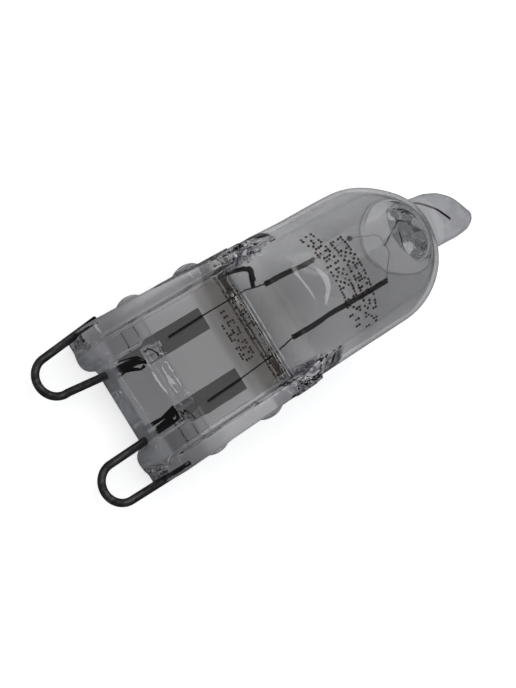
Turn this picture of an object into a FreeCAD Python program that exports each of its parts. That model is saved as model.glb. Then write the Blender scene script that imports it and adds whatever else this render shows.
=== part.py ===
import FreeCAD, Part
import math
import os

import Sketcher

# A clear glass lamp capsule with a flat pressed foot and two wire contact loops.
# The lamp's own axis is X, from the foot's end edge at 0 towards the dome, Y runs across the
# pressed foot and Z is square to its flat face. It lies on the bulb's lower side and on the
# foot's two ribs, so every piece carries the same resting turn and shift.

doc = FreeCAD.newDocument("OvenLamp")
sheet = doc.addObject("Spreadsheet::Sheet", "Sizes")

SIZES = [
    ("bulb_diameter", 12.2),
    ("bulb_wall", 0.9),
    ("bulb_start", 16.8),
    ("bulb_skirt_start", 12.0),
    ("bulb_skirt_radius", 0.5),
    ("shoulder_radius", 3.0),
    ("shoulder_slope", 26.0),
    ("bulb_end", 31.3),
    ("cavity_start", 14.2),
    ("cavity_corner", 1.7),
    ("dome_ring_radius", 3.5),
    ("dome_end_wall", 1.9),
    ("foot_width", 12.7),
    ("rib_width", 1.4),
    ("rib_thickness", 5.0),
    ("rib_end", 15.1),
    ("rib_end_radius", 1.1),
    ("rib_base_radius", 1.6),
    ("rib_edge_radius", 0.6),
    ("web_thickness", 2.8),
    ("web_base_thickness", 3.0),
    ("web_base_radius", 0.6),
    ("ridge_start", 2.6),
    ("ridge_end", 4.2),
    ("ridge_thickness", 3.4),
    ("ridge_slope", 0.25),
    ("lobe_width", 3.15),
    ("lobe_drop", 0.78),
    ("lobe_length", 3.0),
    ("lobe_thickness", 4.2),
    ("lobe_corner_radius", 2.0),
    ("lobe_edge_radius", 0.9),
    ("bump_height", 0.36),
    ("bump_thickness", 3.0),
    ("bump_low_centre", 4.6),
    ("bump_low_half", 0.95),
    ("bump_high_centre", 10.1),
    ("bump_high_half", 1.1),
    ("gusset_end", 17.6),
    ("gusset_start", 14.2),
    ("gusset_thickness", 4.4),
    ("gusset_tip_thickness", 2.6),
    ("gusset_root_inset", 0.15),
    ("gusset_tip_inset", 0.5),
    ("gusset_overlap", 0.1),
    ("tip_base_radius", 2.75),
    ("tip_neck_radius", 2.38),
    ("tip_upper_radius", 2.3),
    ("tip_slope_radius", 1.62),
    ("tip_crown_radius", 0.88),
    ("tip_end_radius", 0.35),
    ("tip_sink", 1.3),
    ("tip_neck_height", 1.1),
    ("tip_upper_height", 3.4),
    ("tip_slope_height", 4.9),
    ("tip_crown_height", 5.7),
    ("tip_height", 6.05),
    ("tip_upper_offset", 0.2),
    ("tip_slope_offset", 0.8),
    ("tip_crown_offset", 1.12),
    ("wire_diameter", 0.62),
    ("loop_spacing", 9.0),
    ("outer_leg_inset", 0.35),
    ("loop_reach", 5.0),
    ("left_splay", 6.0),
    ("right_splay", 1.2),
    ("outer_leg_end", 1.6),
    ("inner_leg_end", 3.6),
    ("foil_width", 1.9),
    ("foil_length", 7.6),
    ("foil_end", 9.3),
    ("foil_thickness", 0.06),
    ("foil_level", -0.2),
    ("foil_corner", 0.2),
    ("left_foil_centre", 2.48),
    ("right_foil_centre", 2.87),
    ("tail_diameter", 0.12),
    ("tail_sink", 0.04),
    ("tail_weld_diameter", 0.2),
    ("tail_weld_length", 3.3),
    ("tail_weld_setback", 0.05),
    ("tail_overlap", 0.2),
    ("tail_bend_length", 1.5),
    ("right_tail_lean", 0.25),
    ("left_tail_offset", 2.7),
    ("right_tail_offset", 2.9),
    ("coil_diameter", 0.42),
    ("left_coil_start", 15.45),
    ("left_coil_length", 5.55),
    ("left_coil_foot_offset", 2.3),
    ("left_coil_top_offset", 2.02),
    ("right_coil_start", 15.2),
    ("right_coil_top_gap", 1.75),
    ("right_coil_foot_offset", 2.38),
    ("right_coil_top_offset", 2.6),
    ("knot_gap", 2.85),
    ("knot_offset", 1.95),
    ("knot_diameter", 0.4),
    ("bridge_depth", 3.4),
    ("bridge_half", 0.9),
    ("top_support_diameter", 0.24),
    ("top_support_anchor", 2.9),
    ("top_support_bend", 0.9),
    ("top_support_bow", 1.1),
    ("top_support_anchor_offset", 0.2),
    ("top_support_hook_offset", 0.1),
    ("support_overlap", 0.15),
    ("foot_support_diameter", 0.34),
    ("foot_support_anchor", 13.2),
    ("foot_support_rise", 15.6),
    ("foot_support_offset", 4.65),
    ("foot_support_lean", 0.4),
    ("foot_support_corner", 0.35),
    ("tool_margin", 1.0),
]

VALUES = {}
for row, (alias, number) in enumerate(SIZES, start=1):
    sheet.set("A%d" % row, alias)
    sheet.set("B%d" % row, str(number))
    sheet.setAlias("B%d" % row, alias)
    VALUES[alias] = number
doc.recompute()


class Size:
    # A number together with the formula that gives it from the sheet.
    def __init__(self, value, text):
        self.value = float(value)
        self.text = text

    def _mix(self, other, sign, number, turned=False):
        other = other if isinstance(other, Size) else Size(other, "%.6g" % other)
        first, second = (other, self) if turned else (self, other)
        return Size(number, "(%s %s %s)" % (first.text, sign, second.text))

    def __add__(self, other):
        return self._mix(other, "+", self.value + amount(other))

    def __radd__(self, other):
        return self._mix(other, "+", self.value + amount(other), True)

    def __sub__(self, other):
        return self._mix(other, "-", self.value - amount(other))

    def __rsub__(self, other):
        return self._mix(other, "-", amount(other) - self.value, True)

    def __mul__(self, other):
        return self._mix(other, "*", self.value * amount(other))

    def __rmul__(self, other):
        return self._mix(other, "*", self.value * amount(other), True)

    def __truediv__(self, other):
        return self._mix(other, "/", self.value / amount(other))

    def __neg__(self):
        return Size(-self.value, "(0 - %s)" % self.text)


def amount(thing):
    return thing.value if isinstance(thing, Size) else float(thing)


def size(alias):
    return Size(VALUES[alias], "Sizes.%s" % alias)


def fixed(number):
    return Size(number, "%.6g" % number)


def sine(angle):
    return Size(math.sin(math.radians(angle.value)), "sin(%s)" % angle.text)


def cosine(angle):
    return Size(math.cos(math.radians(angle.value)), "cos(%s)" % angle.text)


def tangent(angle):
    return Size(math.tan(math.radians(angle.value)), "tan(%s)" % angle.text)


def root(number):
    return Size(math.sqrt(number.value), "sqrt(%s)" % number.text)


def arc_sine(ratio):
    return Size(math.degrees(math.asin(ratio.value)), "(asin(%s) / 1deg)" % ratio.text)


def arc_tangent(ratio):
    return Size(math.degrees(math.atan(ratio.value)), "(atan(%s) / 1deg)" % ratio.text)


bulb_radius = size("bulb_diameter") / 2
cavity_radius = bulb_radius - size("bulb_wall")
dome_start = size("bulb_end") - bulb_radius
half_foot = size("foot_width") / 2
half_rib = size("rib_thickness") / 2
half_web = size("web_thickness") / 2
rib_inner = half_foot - size("rib_width")
lobe_inner = half_foot - size("lobe_width")
margin = size("tool_margin")

# Resting turn: the line that touches the ribs' rounded base ends and the bulb's shoulder.
rib_round_place = size("rib_base_radius") - size("lobe_drop")
rib_round_drop = half_rib - size("rib_base_radius")
shoulder_round_drop = bulb_radius - size("shoulder_radius")
span = size("bulb_start") - rib_round_place
drop = shoulder_round_drop - rib_round_drop
reach = root(span * span + drop * drop)
rest_tilt = arc_tangent(drop / span) + arc_sine(
    (size("shoulder_radius") - size("rib_base_radius")) / reach
)
rest_rise = (
    shoulder_round_drop * cosine(rest_tilt)
    + size("shoulder_radius")
    - size("bulb_start") * sine(rest_tilt)
)
rest_shift = (
    (size("loop_reach") + size("wire_diameter") / 2 - size("bulb_end") - size("tip_height"))
    / 2
    * cosine(rest_tilt)
)


def lay_down(thing):
    thing.Placement = FreeCAD.Placement(
        FreeCAD.Vector(rest_shift.value, 0, rest_rise.value),
        FreeCAD.Rotation(FreeCAD.Vector(0, -1, 0), rest_tilt.value),
    )
    thing.setExpression("Placement.Rotation.Angle", rest_tilt.text)
    thing.setExpression("Placement.Base.x", rest_shift.text)
    thing.setExpression("Placement.Base.z", rest_rise.text)


def new_body(name):
    body = doc.addObject("PartDesign::Body", name)
    body.Label = name
    lay_down(body)
    return body


def new_sketch(body, role, name, lift=None):
    sketch = body.newObject("Sketcher::SketchObject", name)
    plane = [f for f in body.Origin.OriginFeatures if f.Role == role][0]
    sketch.AttachmentSupport = (plane, [""])
    sketch.MapMode = "FlatFace"
    if lift is not None:
        sketch.AttachmentOffset = FreeCAD.Placement(
            FreeCAD.Vector(0, 0, lift.value), FreeCAD.Rotation()
        )
        sketch.setExpression("AttachmentOffset.Base.z", lift.text)
    return sketch


def hold(sketch, kind, geometry, point, number):
    # Fixes one coordinate of a point to its formula.
    if abs(number.value) < 1e-9:
        axis = -2 if kind == "DistanceX" else -1
        sketch.addConstraint(Sketcher.Constraint("PointOnObject", geometry, point, axis))
        return
    index = sketch.addConstraint(
        Sketcher.Constraint(kind, -1, 1, geometry, point, number.value)
    )
    sketch.setExpression("Constraints[%d]" % index, number.text)


def as_size(thing):
    return thing if isinstance(thing, Size) else fixed(thing)


def arc_centre(start, end, radius, side):
    ax, ay = start[0].value, start[1].value
    bx, by = end[0].value, end[1].value
    mx, my = (ax + bx) / 2, (ay + by) / 2
    half = math.hypot(bx - ax, by - ay) / 2
    rise = math.sqrt(max(radius.value ** 2 - half ** 2, 0.0))
    nx, ny = -(by - ay) / (2 * half), (bx - ax) / (2 * half)
    return mx + side * nx * rise, my + side * ny * rise


def outline(sketch, points, bends=None, closed=True):
    # points: corners in order. bends: for the run after corner i, (radius, side), where side 1
    # puts the arc's centre on the left of the run and -1 on the right; a run without is straight.
    bends = bends or {}
    points = [(as_size(a), as_size(b)) for a, b in points]
    count = len(points)
    runs = count if closed else count - 1
    ends = []
    for i in range(runs):
        start, end = points[i], points[(i + 1) % count]
        a = FreeCAD.Vector(start[0].value, start[1].value, 0)
        b = FreeCAD.Vector(end[0].value, end[1].value, 0)
        if i not in bends:
            index = sketch.addGeometry(Part.LineSegment(a, b), False)
            ends.append((index, 1, 2))
            continue
        radius, side = bends[i]
        radius = as_size(radius)
        cx, cy = arc_centre(start, end, radius, side)
        circle = Part.Circle(FreeCAD.Vector(cx, cy, 0), FreeCAD.Vector(0, 0, 1), radius.value)
        first = math.atan2(a.y - cy, a.x - cx)
        last = math.atan2(b.y - cy, b.x - cx)
        if side > 0:
            index = sketch.addGeometry(Part.ArcOfCircle(circle, first, last), False)
            ends.append((index, 1, 2))
        else:
            index = sketch.addGeometry(Part.ArcOfCircle(circle, last, first), False)
            ends.append((index, 2, 1))
    for i in range(runs):
        following = (i + 1) % runs
        if closed or i + 1 < runs:
            sketch.addConstraint(
                Sketcher.Constraint("Coincident", ends[i][0], ends[i][2], ends[following][0], ends[following][1])
            )
    for i, (geometry, first, last) in enumerate(ends):
        hold(sketch, "DistanceX", geometry, first, points[i][0])
        hold(sketch, "DistanceY", geometry, first, points[i][1])
        if i in bends:
            radius = as_size(bends[i][0])
            index = sketch.addConstraint(Sketcher.Constraint("Radius", geometry, radius.value))
            sketch.setExpression("Constraints[%d]" % index, radius.text)
    if not closed:
        geometry, first, last = ends[-1]
        hold(sketch, "DistanceX", geometry, last, points[-1][0])
        hold(sketch, "DistanceY", geometry, last, points[-1][1])
    return ends


def circle_at(sketch, x, y, radius):
    x, y, radius = as_size(x), as_size(y), as_size(radius)
    index = sketch.addGeometry(
        Part.Circle(FreeCAD.Vector(x.value, y.value, 0), FreeCAD.Vector(0, 0, 1), radius.value), False
    )
    hold(sketch, "DistanceX", index, 3, x)
    hold(sketch, "DistanceY", index, 3, y)
    number = sketch.addConstraint(Sketcher.Constraint("Radius", index, radius.value))
    sketch.setExpression("Constraints[%d]" % number, radius.text)


def pad(body, sketch, name, length, both_ways=False):
    length = as_size(length)
    feature = body.newObject("PartDesign::Pad", name)
    feature.Profile = sketch
    feature.Length = length.value
    feature.setExpression("Length", length.text)
    if both_ways:
        feature.Midplane = True
    return feature


def revolve(body, sketch, name):
    feature = body.newObject("PartDesign::Revolution", name)
    feature.Profile = sketch
    feature.ReferenceAxis = (sketch, ["H_Axis"])
    feature.Angle = 360.0
    return feature


# Pressed foot, seen square to its face: straight sides, two lobes at the end and rounded rib ends.
corner = size("lobe_corner_radius")
lobe_drop = size("lobe_drop")
half_drop = lobe_drop / 2
rib_end = size("rib_end")
end_round = size("rib_end_radius")
right_side = [
    (fixed(0), -lobe_inner),
    (fixed(0), lobe_inner),
    (-half_drop, lobe_inner + half_drop),
    (-lobe_drop, lobe_inner + lobe_drop),
    (-lobe_drop, half_foot - corner),
    (corner - lobe_drop, half_foot),
    (rib_end - end_round, half_foot),
    (rib_end, half_foot - end_round),
    (rib_end, end_round - half_foot),
    (rib_end - end_round, -half_foot),
    (corner - lobe_drop, -half_foot),
    (-lobe_drop, corner - half_foot),
    (-lobe_drop, -lobe_inner - lobe_drop),
    (-half_drop, -lobe_inner - half_drop),
]
plan_bends = {
    1: (half_drop, 1),
    2: (half_drop, -1),
    4: (corner, -1),
    6: (end_round, -1),
    8: (end_round, -1),
    10: (corner, -1),
    12: (half_drop, -1),
    13: (half_drop, 1),
}
plan_body = new_body("foot_plan")
plan_sketch = new_sketch(plan_body, "XY_Plane", "foot_plan_sketch")
outline(plan_sketch, right_side, plan_bends)
pad(plan_body, plan_sketch, "foot_plan_pad", size("rib_thickness") + margin * 2, True)

# The ribs' side outline, rounded at the base end and at the bulb end.
side_body = new_body("rib_side")
side_sketch = new_sketch(side_body, "XZ_Plane", "rib_side_sketch")
base_round = size("rib_base_radius")
side_points = [
    (base_round - lobe_drop, half_rib),
    (-lobe_drop, half_rib - base_round),
    (-lobe_drop, base_round - half_rib),
    (base_round - lobe_drop, -half_rib),
    (rib_end - end_round, -half_rib),
    (rib_end, end_round - half_rib),
    (rib_end, half_rib - end_round),
    (rib_end - end_round, half_rib),
]
side_bends = {0: (base_round, 1), 2: (base_round, 1), 4: (end_round, 1), 6: (end_round, 1)}
outline(side_sketch, side_points, side_bends)
pad(side_body, side_sketch, "rib_side_pad", size("foot_width") + margin * 2, True)


def foot_bar(name, inner, outer, thickness, radius, length):
    # One rounded bar each side of the axis, along the foot from the lobes' end.
    body_names = []
    for label, way in (("left", 1), ("right", -1)):
        body = new_body("%s_%s" % (label, name))
        sketch = new_sketch(body, "YZ_Plane", "%s_%s_sketch" % (label, name), -lobe_drop)
        low, high = (inner, outer) if way > 0 else (-outer, -inner)
        half = thickness / 2
        points = [
            (high - radius, -half),
            (high, radius - half),
            (high, half - radius),
            (high - radius, half),
            (low + radius, half),
            (low, half - radius),
            (low, radius - half),
            (low + radius, -half),
        ]
        bends = {0: (radius, 1), 2: (radius, 1), 4: (radius, 1), 6: (radius, 1)}
        outline(sketch, points, bends)
        pad(body, sketch, "%s_%s_pad" % (label, name), length + lobe_drop)
        body_names.append(body)
    return body_names


rib_bars = foot_bar(
    "rib_bar", rib_inner, half_foot, size("rib_thickness"), size("rib_edge_radius"), rib_end
)
lobe_bars = foot_bar(
    "lobe_bar",
    lobe_inner,
    half_foot,
    size("lobe_thickness"),
    size("lobe_edge_radius"),
    size("lobe_length"),
)

# The flat web between the ribs: a rounded end edge, the thicker base zone, the raised cross
# ridge and the recessed window up to the bulb.
web_body = new_body("web")
web_sketch = new_sketch(web_body, "XZ_Plane", "web_sketch")
half_base = size("web_base_thickness") / 2
half_ridge = size("ridge_thickness") / 2
edge = size("web_base_radius")
slope = size("ridge_slope")
upper = [
    (fixed(0), half_base - edge),
    (edge, half_base),
    (size("ridge_start"), half_base),
    (size("ridge_start") + slope, half_ridge),
    (size("ridge_end") - slope, half_ridge),
    (size("ridge_end") + slope, half_web),
    (rib_end, half_web),
]
lower = [(x, -z) for x, z in reversed(upper)]
outline(web_sketch, upper + lower, {0: (edge, -1), 12: (edge, -1)})
pad(web_body, web_sketch, "web_pad", (rib_inner + size("rib_width") / 2) * 2, True)

# Rounded bumps that the pressing tool leaves on the foot's sides, two on each.
bump_body = new_body("side_bumps")
bump_sketch = new_sketch(bump_body, "XY_Plane", "side_bumps_sketch")
bump_root = half_foot - size("rib_edge_radius")
bump_rise = size("rib_edge_radius") + size("bump_height")
bump_points = []
for place, half in (("bump_low_centre", "bump_low_half"), ("bump_high_centre", "bump_high_half")):
    chord = size(half)
    bend = (chord * chord + bump_rise * bump_rise) / (2 * bump_rise)
    for way in (1, -1):
        middle = size(place)
        points = [
            (middle + chord, way * bump_root),
            (middle, way * (bump_root + bump_rise)),
            (middle - chord, way * bump_root),
        ]
        outline(bump_sketch, points, {0: (bend, way), 1: (bend, way)})
pad(bump_body, bump_sketch, "side_bumps_pad", size("bump_thickness"), True)

# The blown bulb: a straight body and a round dome.
bulb_body = new_body("bulb_round")
bulb_sketch = new_sketch(bulb_body, "XY_Plane", "bulb_sketch")
skirt = size("bulb_skirt_radius")
bulb_points = [
    (size("bulb_skirt_start"), 0),
    (size("bulb_skirt_start"), bulb_radius - skirt),
    (size("bulb_skirt_start") + skirt, bulb_radius),
    (dome_start, bulb_radius),
    (size("bulb_end"), 0),
]
outline(bulb_sketch, bulb_points, {1: (skirt, -1), 3: (bulb_radius, -1)})
revolve(bulb_body, bulb_sketch, "bulb_revolution")

# The two flat shoulders that the pressing tool leaves, sloping out from the web to the bulb.
shoulder_body = new_body("shoulder_side")
shoulder_sketch = new_sketch(shoulder_body, "XZ_Plane", "shoulder_sketch")
shoulder_round = size("shoulder_radius")
shoulder_slope = size("shoulder_slope")
round_start = size("bulb_start") - shoulder_round * cosine(shoulder_slope)
round_level = bulb_radius - shoulder_round + shoulder_round * sine(shoulder_slope)
shoulder_foot = round_start - (round_level - half_web) * tangent(shoulder_slope)
beyond = size("bulb_end") + margin
near_side = [
    (size("bulb_skirt_start") - margin, half_web),
    (shoulder_foot, half_web),
    (round_start, round_level),
    (size("bulb_start"), bulb_radius),
    (beyond, bulb_radius),
]
far_side = [(x, -z) for x, z in reversed(near_side)]
outline(
    shoulder_sketch,
    near_side + far_side,
    {2: (shoulder_round, -1), 6: (shoulder_round, -1)},
)
pad(shoulder_body, shoulder_sketch, "shoulder_pad", size("bulb_diameter") + margin * 2, True)

# The closed-off stub at the dome's end, which leans to one side.
tip_steps = [
    (-size("tip_sink"), "tip_base_radius", None),
    (size("tip_neck_height"), "tip_neck_radius", None),
    (size("tip_upper_height"), "tip_upper_radius", "tip_upper_offset"),
    (size("tip_slope_height"), "tip_slope_radius", "tip_slope_offset"),
    (size("tip_crown_height"), "tip_crown_radius", "tip_crown_offset"),
    (size("tip_height"), "tip_end_radius", "tip_crown_offset"),
]
tip_body = new_body("tip")
tip_sketches = []
for number, (height, radius, offset) in enumerate(tip_steps):
    place = size("bulb_end") + height
    sketch = new_sketch(tip_body, "YZ_Plane", "tip_section_%d" % number, place)
    circle_at(sketch, -size(offset) if offset else 0, 0, size(radius))
    tip_sketches.append(sketch)
tip_loft = tip_body.newObject("PartDesign::AdditiveLoft", "tip_loft")
tip_loft.Profile = tip_sketches[0]
tip_loft.Sections = tip_sketches[1:]
tip_loft.Ruled = True

# Tapered facets where the ribs run out on the bulb.
gusset_bodies = []
for label, way in (("left", 1), ("right", -1)):
    body = new_body("%s_gusset" % label)
    sections = []
    for step, place, outer, thick in (
        (0, size("gusset_start"), half_foot - size("gusset_root_inset"), size("gusset_thickness")),
        (1, size("gusset_end"), bulb_radius - size("gusset_tip_inset"), size("gusset_tip_thickness")),
    ):
        sketch = new_sketch(body, "YZ_Plane", "%s_gusset_section_%d" % (label, step), place)
        inner = rib_inner + size("gusset_overlap")
        if way > 0:
            low, high = inner, outer
        else:
            low, high = -outer, -inner
        outline(
            sketch,
            [(low, -thick / 2), (high, -thick / 2), (high, thick / 2), (low, thick / 2)],
        )
        sections.append(sketch)
    loft = body.newObject("PartDesign::AdditiveLoft", "%s_gusset_loft" % label)
    loft.Profile = sections[0]
    loft.Sections = sections[1:]
    loft.Ruled = True
    gusset_bodies.append(body)

# The sealed space inside the bulb: round, narrowing in two steps to a ring edge where the dome's
# end is thick, and pressed flat at the foot so that the shoulders keep the bulb's wall.
cavity_body = new_body("cavity_round")
cavity_sketch = new_sketch(cavity_body, "XY_Plane", "cavity_round_sketch")
ring = size("dome_ring_radius")
ring_angle = arc_sine(ring / cavity_radius)
step_angle = (ring_angle + 90) / 2
cavity_points = [
    (size("cavity_start") - margin, 0),
    (size("cavity_start") - margin, cavity_radius),
    (dome_start, cavity_radius),
    (dome_start + cavity_radius * cosine(step_angle), cavity_radius * sine(step_angle)),
    (dome_start + cavity_radius * cosine(ring_angle), ring),
    (size("bulb_end") - size("dome_end_wall"), 0),
]
outline(cavity_sketch, cavity_points)
revolve(cavity_body, cavity_sketch, "cavity_revolution")

cavity_side = new_body("cavity_side")
cavity_side_sketch = new_sketch(cavity_side, "XZ_Plane", "cavity_side_sketch")
inner_round = shoulder_round - size("bulb_wall")
inner_start = size("bulb_start") - inner_round * cosine(shoulder_slope)
inner_level = bulb_radius - shoulder_round + inner_round * sine(shoulder_slope)
floor_level = inner_level - (inner_start - size("cavity_start")) / tangent(shoulder_slope)
near_side = [
    (size("cavity_start"), floor_level),
    (inner_start, inner_level),
    (size("bulb_start"), cavity_radius),
    (beyond, cavity_radius),
]
far_side = [(x, -z) for x, z in reversed(near_side)]
outline(cavity_side_sketch, near_side + far_side, {1: (inner_round, -1), 5: (inner_round, -1)})
pad(cavity_side, cavity_side_sketch, "cavity_side_pad", size("bulb_diameter"), True)

cavity_plan = new_body("cavity_plan")
cavity_plan_sketch = new_sketch(cavity_plan, "XY_Plane", "cavity_plan_sketch")
cavity_corner = size("cavity_corner")
outline(
    cavity_plan_sketch,
    [
        (size("cavity_start"), cavity_radius - cavity_corner),
        (size("cavity_start") + cavity_corner, cavity_radius),
        (beyond, cavity_radius),
        (beyond, -cavity_radius),
        (size("cavity_start") + cavity_corner, -cavity_radius),
        (size("cavity_start"), cavity_corner - cavity_radius),
    ],
    {0: (cavity_corner, -1), 4: (cavity_corner, -1)},
)
pad(cavity_plan, cavity_plan_sketch, "cavity_plan_pad", size("bulb_diameter"), True)


def wire(body, name, points, diameter, level):
    # A thin round wire along straight runs that meet in sharp bends, at one level above the axis.
    points = [(as_size(x), as_size(y)) for x, y in points]
    spine = new_sketch(body, "XY_Plane", "%s_path" % name, level)
    ends = outline(spine, points, closed=False)
    start, following = points[0], points[1]
    along = following[0] - start[0]
    across = following[1] - start[1]
    way = 1 if along.value * across.value >= 0 else -1
    heading = arc_tangent(way * across / along)
    profile = body.newObject("Sketcher::SketchObject", "%s_section" % name)
    plane = [f for f in body.Origin.OriginFeatures if f.Role == "YZ_Plane"][0]
    profile.AttachmentSupport = (plane, [""])
    profile.MapMode = "FlatFace"
    profile.AttachmentOffset = FreeCAD.Placement(
        FreeCAD.Vector(start[1].value, level.value, start[0].value),
        FreeCAD.Rotation(FreeCAD.Vector(0, way, 0), heading.value),
    )
    profile.setExpression("AttachmentOffset.Base.x", start[1].text)
    profile.setExpression("AttachmentOffset.Base.y", level.text)
    profile.setExpression("AttachmentOffset.Base.z", start[0].text)
    profile.setExpression("AttachmentOffset.Rotation.Angle", heading.text)
    circle_at(profile, 0, 0, diameter / 2)
    pipe = body.newObject("PartDesign::AdditivePipe", name)
    pipe.Profile = profile
    pipe.Spine = (spine, ["Edge%d" % (i + 1) for i in range(len(ends))])
    pipe.Mode = "Standard"
    pipe.Transition = "Right corner"


foil_start = size("foil_end") - size("foil_length")


def contact_loop(label, way, splay, foil_centre):
    # One wire bent back on itself: the outer leg lies in a groove in the rib's side, the inner
    # leg goes into the glass and is flattened where it is welded on its foil.
    body = new_body("%s_contact_loop" % label)
    centre = size("loop_spacing") / 2
    bend = half_foot - size("outer_leg_inset") - centre
    bend_centre = bend - size("loop_reach")
    knee = bend_centre - bend * sine(splay)
    outer_foot = centre + bend * cosine(splay)
    inner_foot = centre - bend * cosine(splay)
    outer_top = outer_foot + (size("outer_leg_end") - knee) * tangent(splay)
    inner_top = inner_foot - (size("inner_leg_end") - knee) * tangent(splay)
    points = [
        (size("outer_leg_end"), way * outer_top),
        (knee, way * outer_foot),
        (bend_centre - bend, way * centre),
        (knee, way * inner_foot),
        (size("inner_leg_end"), way * inner_top),
    ]
    spine = new_sketch(body, "XY_Plane", "%s_loop_path" % label)
    ends = outline(spine, points, {1: (bend, way), 2: (bend, way)}, closed=False)
    profile = body.newObject("Sketcher::SketchObject", "%s_loop_section" % label)
    plane = [f for f in body.Origin.OriginFeatures if f.Role == "YZ_Plane"][0]
    profile.AttachmentSupport = (plane, [""])
    profile.MapMode = "FlatFace"
    profile.AttachmentOffset = FreeCAD.Placement(
        FreeCAD.Vector(way * outer_top.value, 0, size("outer_leg_end").value),
        FreeCAD.Rotation(FreeCAD.Vector(0, way, 0), splay.value),
    )
    profile.setExpression("AttachmentOffset.Rotation.Angle", splay.text)
    profile.setExpression("AttachmentOffset.Base.x", (way * outer_top).text)
    profile.setExpression("AttachmentOffset.Base.z", size("outer_leg_end").text)
    circle_at(profile, 0, 0, size("wire_diameter") / 2)
    pipe = body.newObject("PartDesign::AdditivePipe", "%s_loop_wire" % label)
    pipe.Profile = profile
    pipe.Spine = (spine, ["Edge%d" % (i + 1) for i in range(len(ends))])
    flat = new_sketch(body, "XY_Plane", "%s_weld_flat_sketch" % label, size("foil_level"))
    width = size("foil_width")
    outline(
        flat,
        [
            (foil_start, way * foil_centre - width),
            (size("inner_leg_end") + margin, way * foil_centre - width),
            (size("inner_leg_end") + margin, way * foil_centre + width),
            (foil_start, way * foil_centre + width),
        ],
    )
    pocket = body.newObject("PartDesign::Pocket", "%s_weld_flat" % label)
    pocket.Profile = flat
    pocket.Length = size("wire_diameter").value
    pocket.setExpression("Length", size("wire_diameter").text)
    return body


left_loop = contact_loop("left", 1, size("left_splay"), size("left_foil_centre"))
right_loop = contact_loop("right", -1, size("right_splay"), size("right_foil_centre"))


def foil(label, way, centre):
    body = new_body("%s_foil" % label)
    lift = size("foil_level") - size("foil_thickness")
    sketch = new_sketch(body, "XY_Plane", "%s_foil_sketch" % label, lift)
    start = foil_start
    end = size("foil_end")
    half = size("foil_width") / 2
    cut = size("foil_corner")
    middle = way * centre
    outline(
        sketch,
        [
            (start + cut, middle - half),
            (end - cut, middle - half),
            (end, middle - half + cut),
            (end, middle + half - cut),
            (end - cut, middle + half),
            (start + cut, middle + half),
            (start, middle + half - cut),
            (start, middle - half + cut),
        ],
    )
    pad(body, sketch, "%s_foil_pad" % label, size("foil_thickness"))
    return body


left_foil = foil("left", 1, size("left_foil_centre"))
right_foil = foil("right", -1, size("right_foil_centre"))

# The filament: one wire from foil to foil, wound into a coil on each leg, carried over the
# support at the top. The coils are drawn as rods of the coils' outer diameter.
filament = new_body("filament")
filament_level = size("foil_level") + size("tail_sink")
tail = size("tail_diameter")
bridge_place = size("bulb_end") - size("bridge_depth")
left_coil_end = size("left_coil_start") + size("left_coil_length")
right_coil_end = bridge_place - size("right_coil_top_gap")
left_foot = (size("left_coil_start"), size("left_coil_foot_offset"))
left_top = (left_coil_end, size("left_coil_top_offset"))
right_foot = (size("right_coil_start"), -size("right_coil_foot_offset"))
right_top = (right_coil_end, -size("right_coil_top_offset"))
knot = (bridge_place - size("knot_gap"), size("knot_offset"))
left_weld = (size("foil_end") - size("tail_weld_length"), size("left_tail_offset"))
right_weld = (size("foil_end") - size("tail_weld_length"), -size("right_tail_offset"))
weld_run_end = size("foil_end") - size("tail_weld_setback")
left_edge = (weld_run_end, size("left_tail_offset"))
right_edge = (weld_run_end, -size("right_tail_offset"))
lap = size("tail_overlap")
left_path = [
    (weld_run_end - lap, size("left_tail_offset")),
    (size("left_coil_start") - size("tail_bend_length"), size("left_tail_offset")),
    (size("left_coil_start") + lap, size("left_coil_foot_offset")),
]
right_path = [
    (weld_run_end - lap, -size("right_tail_offset")),
    (
        size("right_coil_start") - size("tail_bend_length"),
        size("right_tail_lean") - size("right_tail_offset"),
    ),
    (size("right_coil_start") + lap, -size("right_coil_foot_offset")),
]
top_path = [
    (left_coil_end - lap, size("left_coil_top_offset")),
    knot,
    (bridge_place, size("bridge_half")),
    (bridge_place, -size("bridge_half")),
    (right_coil_end - lap, -size("right_coil_top_offset")),
]
wire(filament, "left_tail", left_path, tail, filament_level)
wire(filament, "left_tail_weld", [left_weld, left_edge], size("tail_weld_diameter"), filament_level)
wire(filament, "left_coil", [left_foot, left_top], size("coil_diameter"), filament_level)
wire(filament, "top_bridge", top_path, tail, filament_level)
wire(filament, "right_coil", [right_foot, right_top], size("coil_diameter"), filament_level)
wire(filament, "right_tail", right_path, tail, filament_level)
wire(filament, "right_tail_weld", [right_weld, right_edge], size("tail_weld_diameter"), filament_level)
knot_sketch = new_sketch(filament, "XY_Plane", "knot_sketch", filament_level)
circle_at(knot_sketch, knot[0], knot[1], size("knot_diameter") / 2)
pad(filament, knot_sketch, "knot_pad", size("knot_diameter"), True)
half_foil = size("foil_width") / 2
weld_flats = new_sketch(filament, "XY_Plane", "weld_flats_sketch", size("foil_level"))
for way, offset in ((1, "left_tail_offset"), (-1, "right_tail_offset")):
    outline(
        weld_flats,
        [
            (foil_start, way * size(offset) - half_foil),
            (size("foil_end"), way * size(offset) - half_foil),
            (size("foil_end"), way * size(offset) + half_foil),
            (foil_start, way * size(offset) + half_foil),
        ],
    )
weld_cut = filament.newObject("PartDesign::Pocket", "weld_flats")
weld_cut.Profile = weld_flats
weld_cut.Length = size("foil_thickness").value + margin.value
weld_cut.setExpression("Length", (size("foil_thickness") + margin).text)

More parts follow.
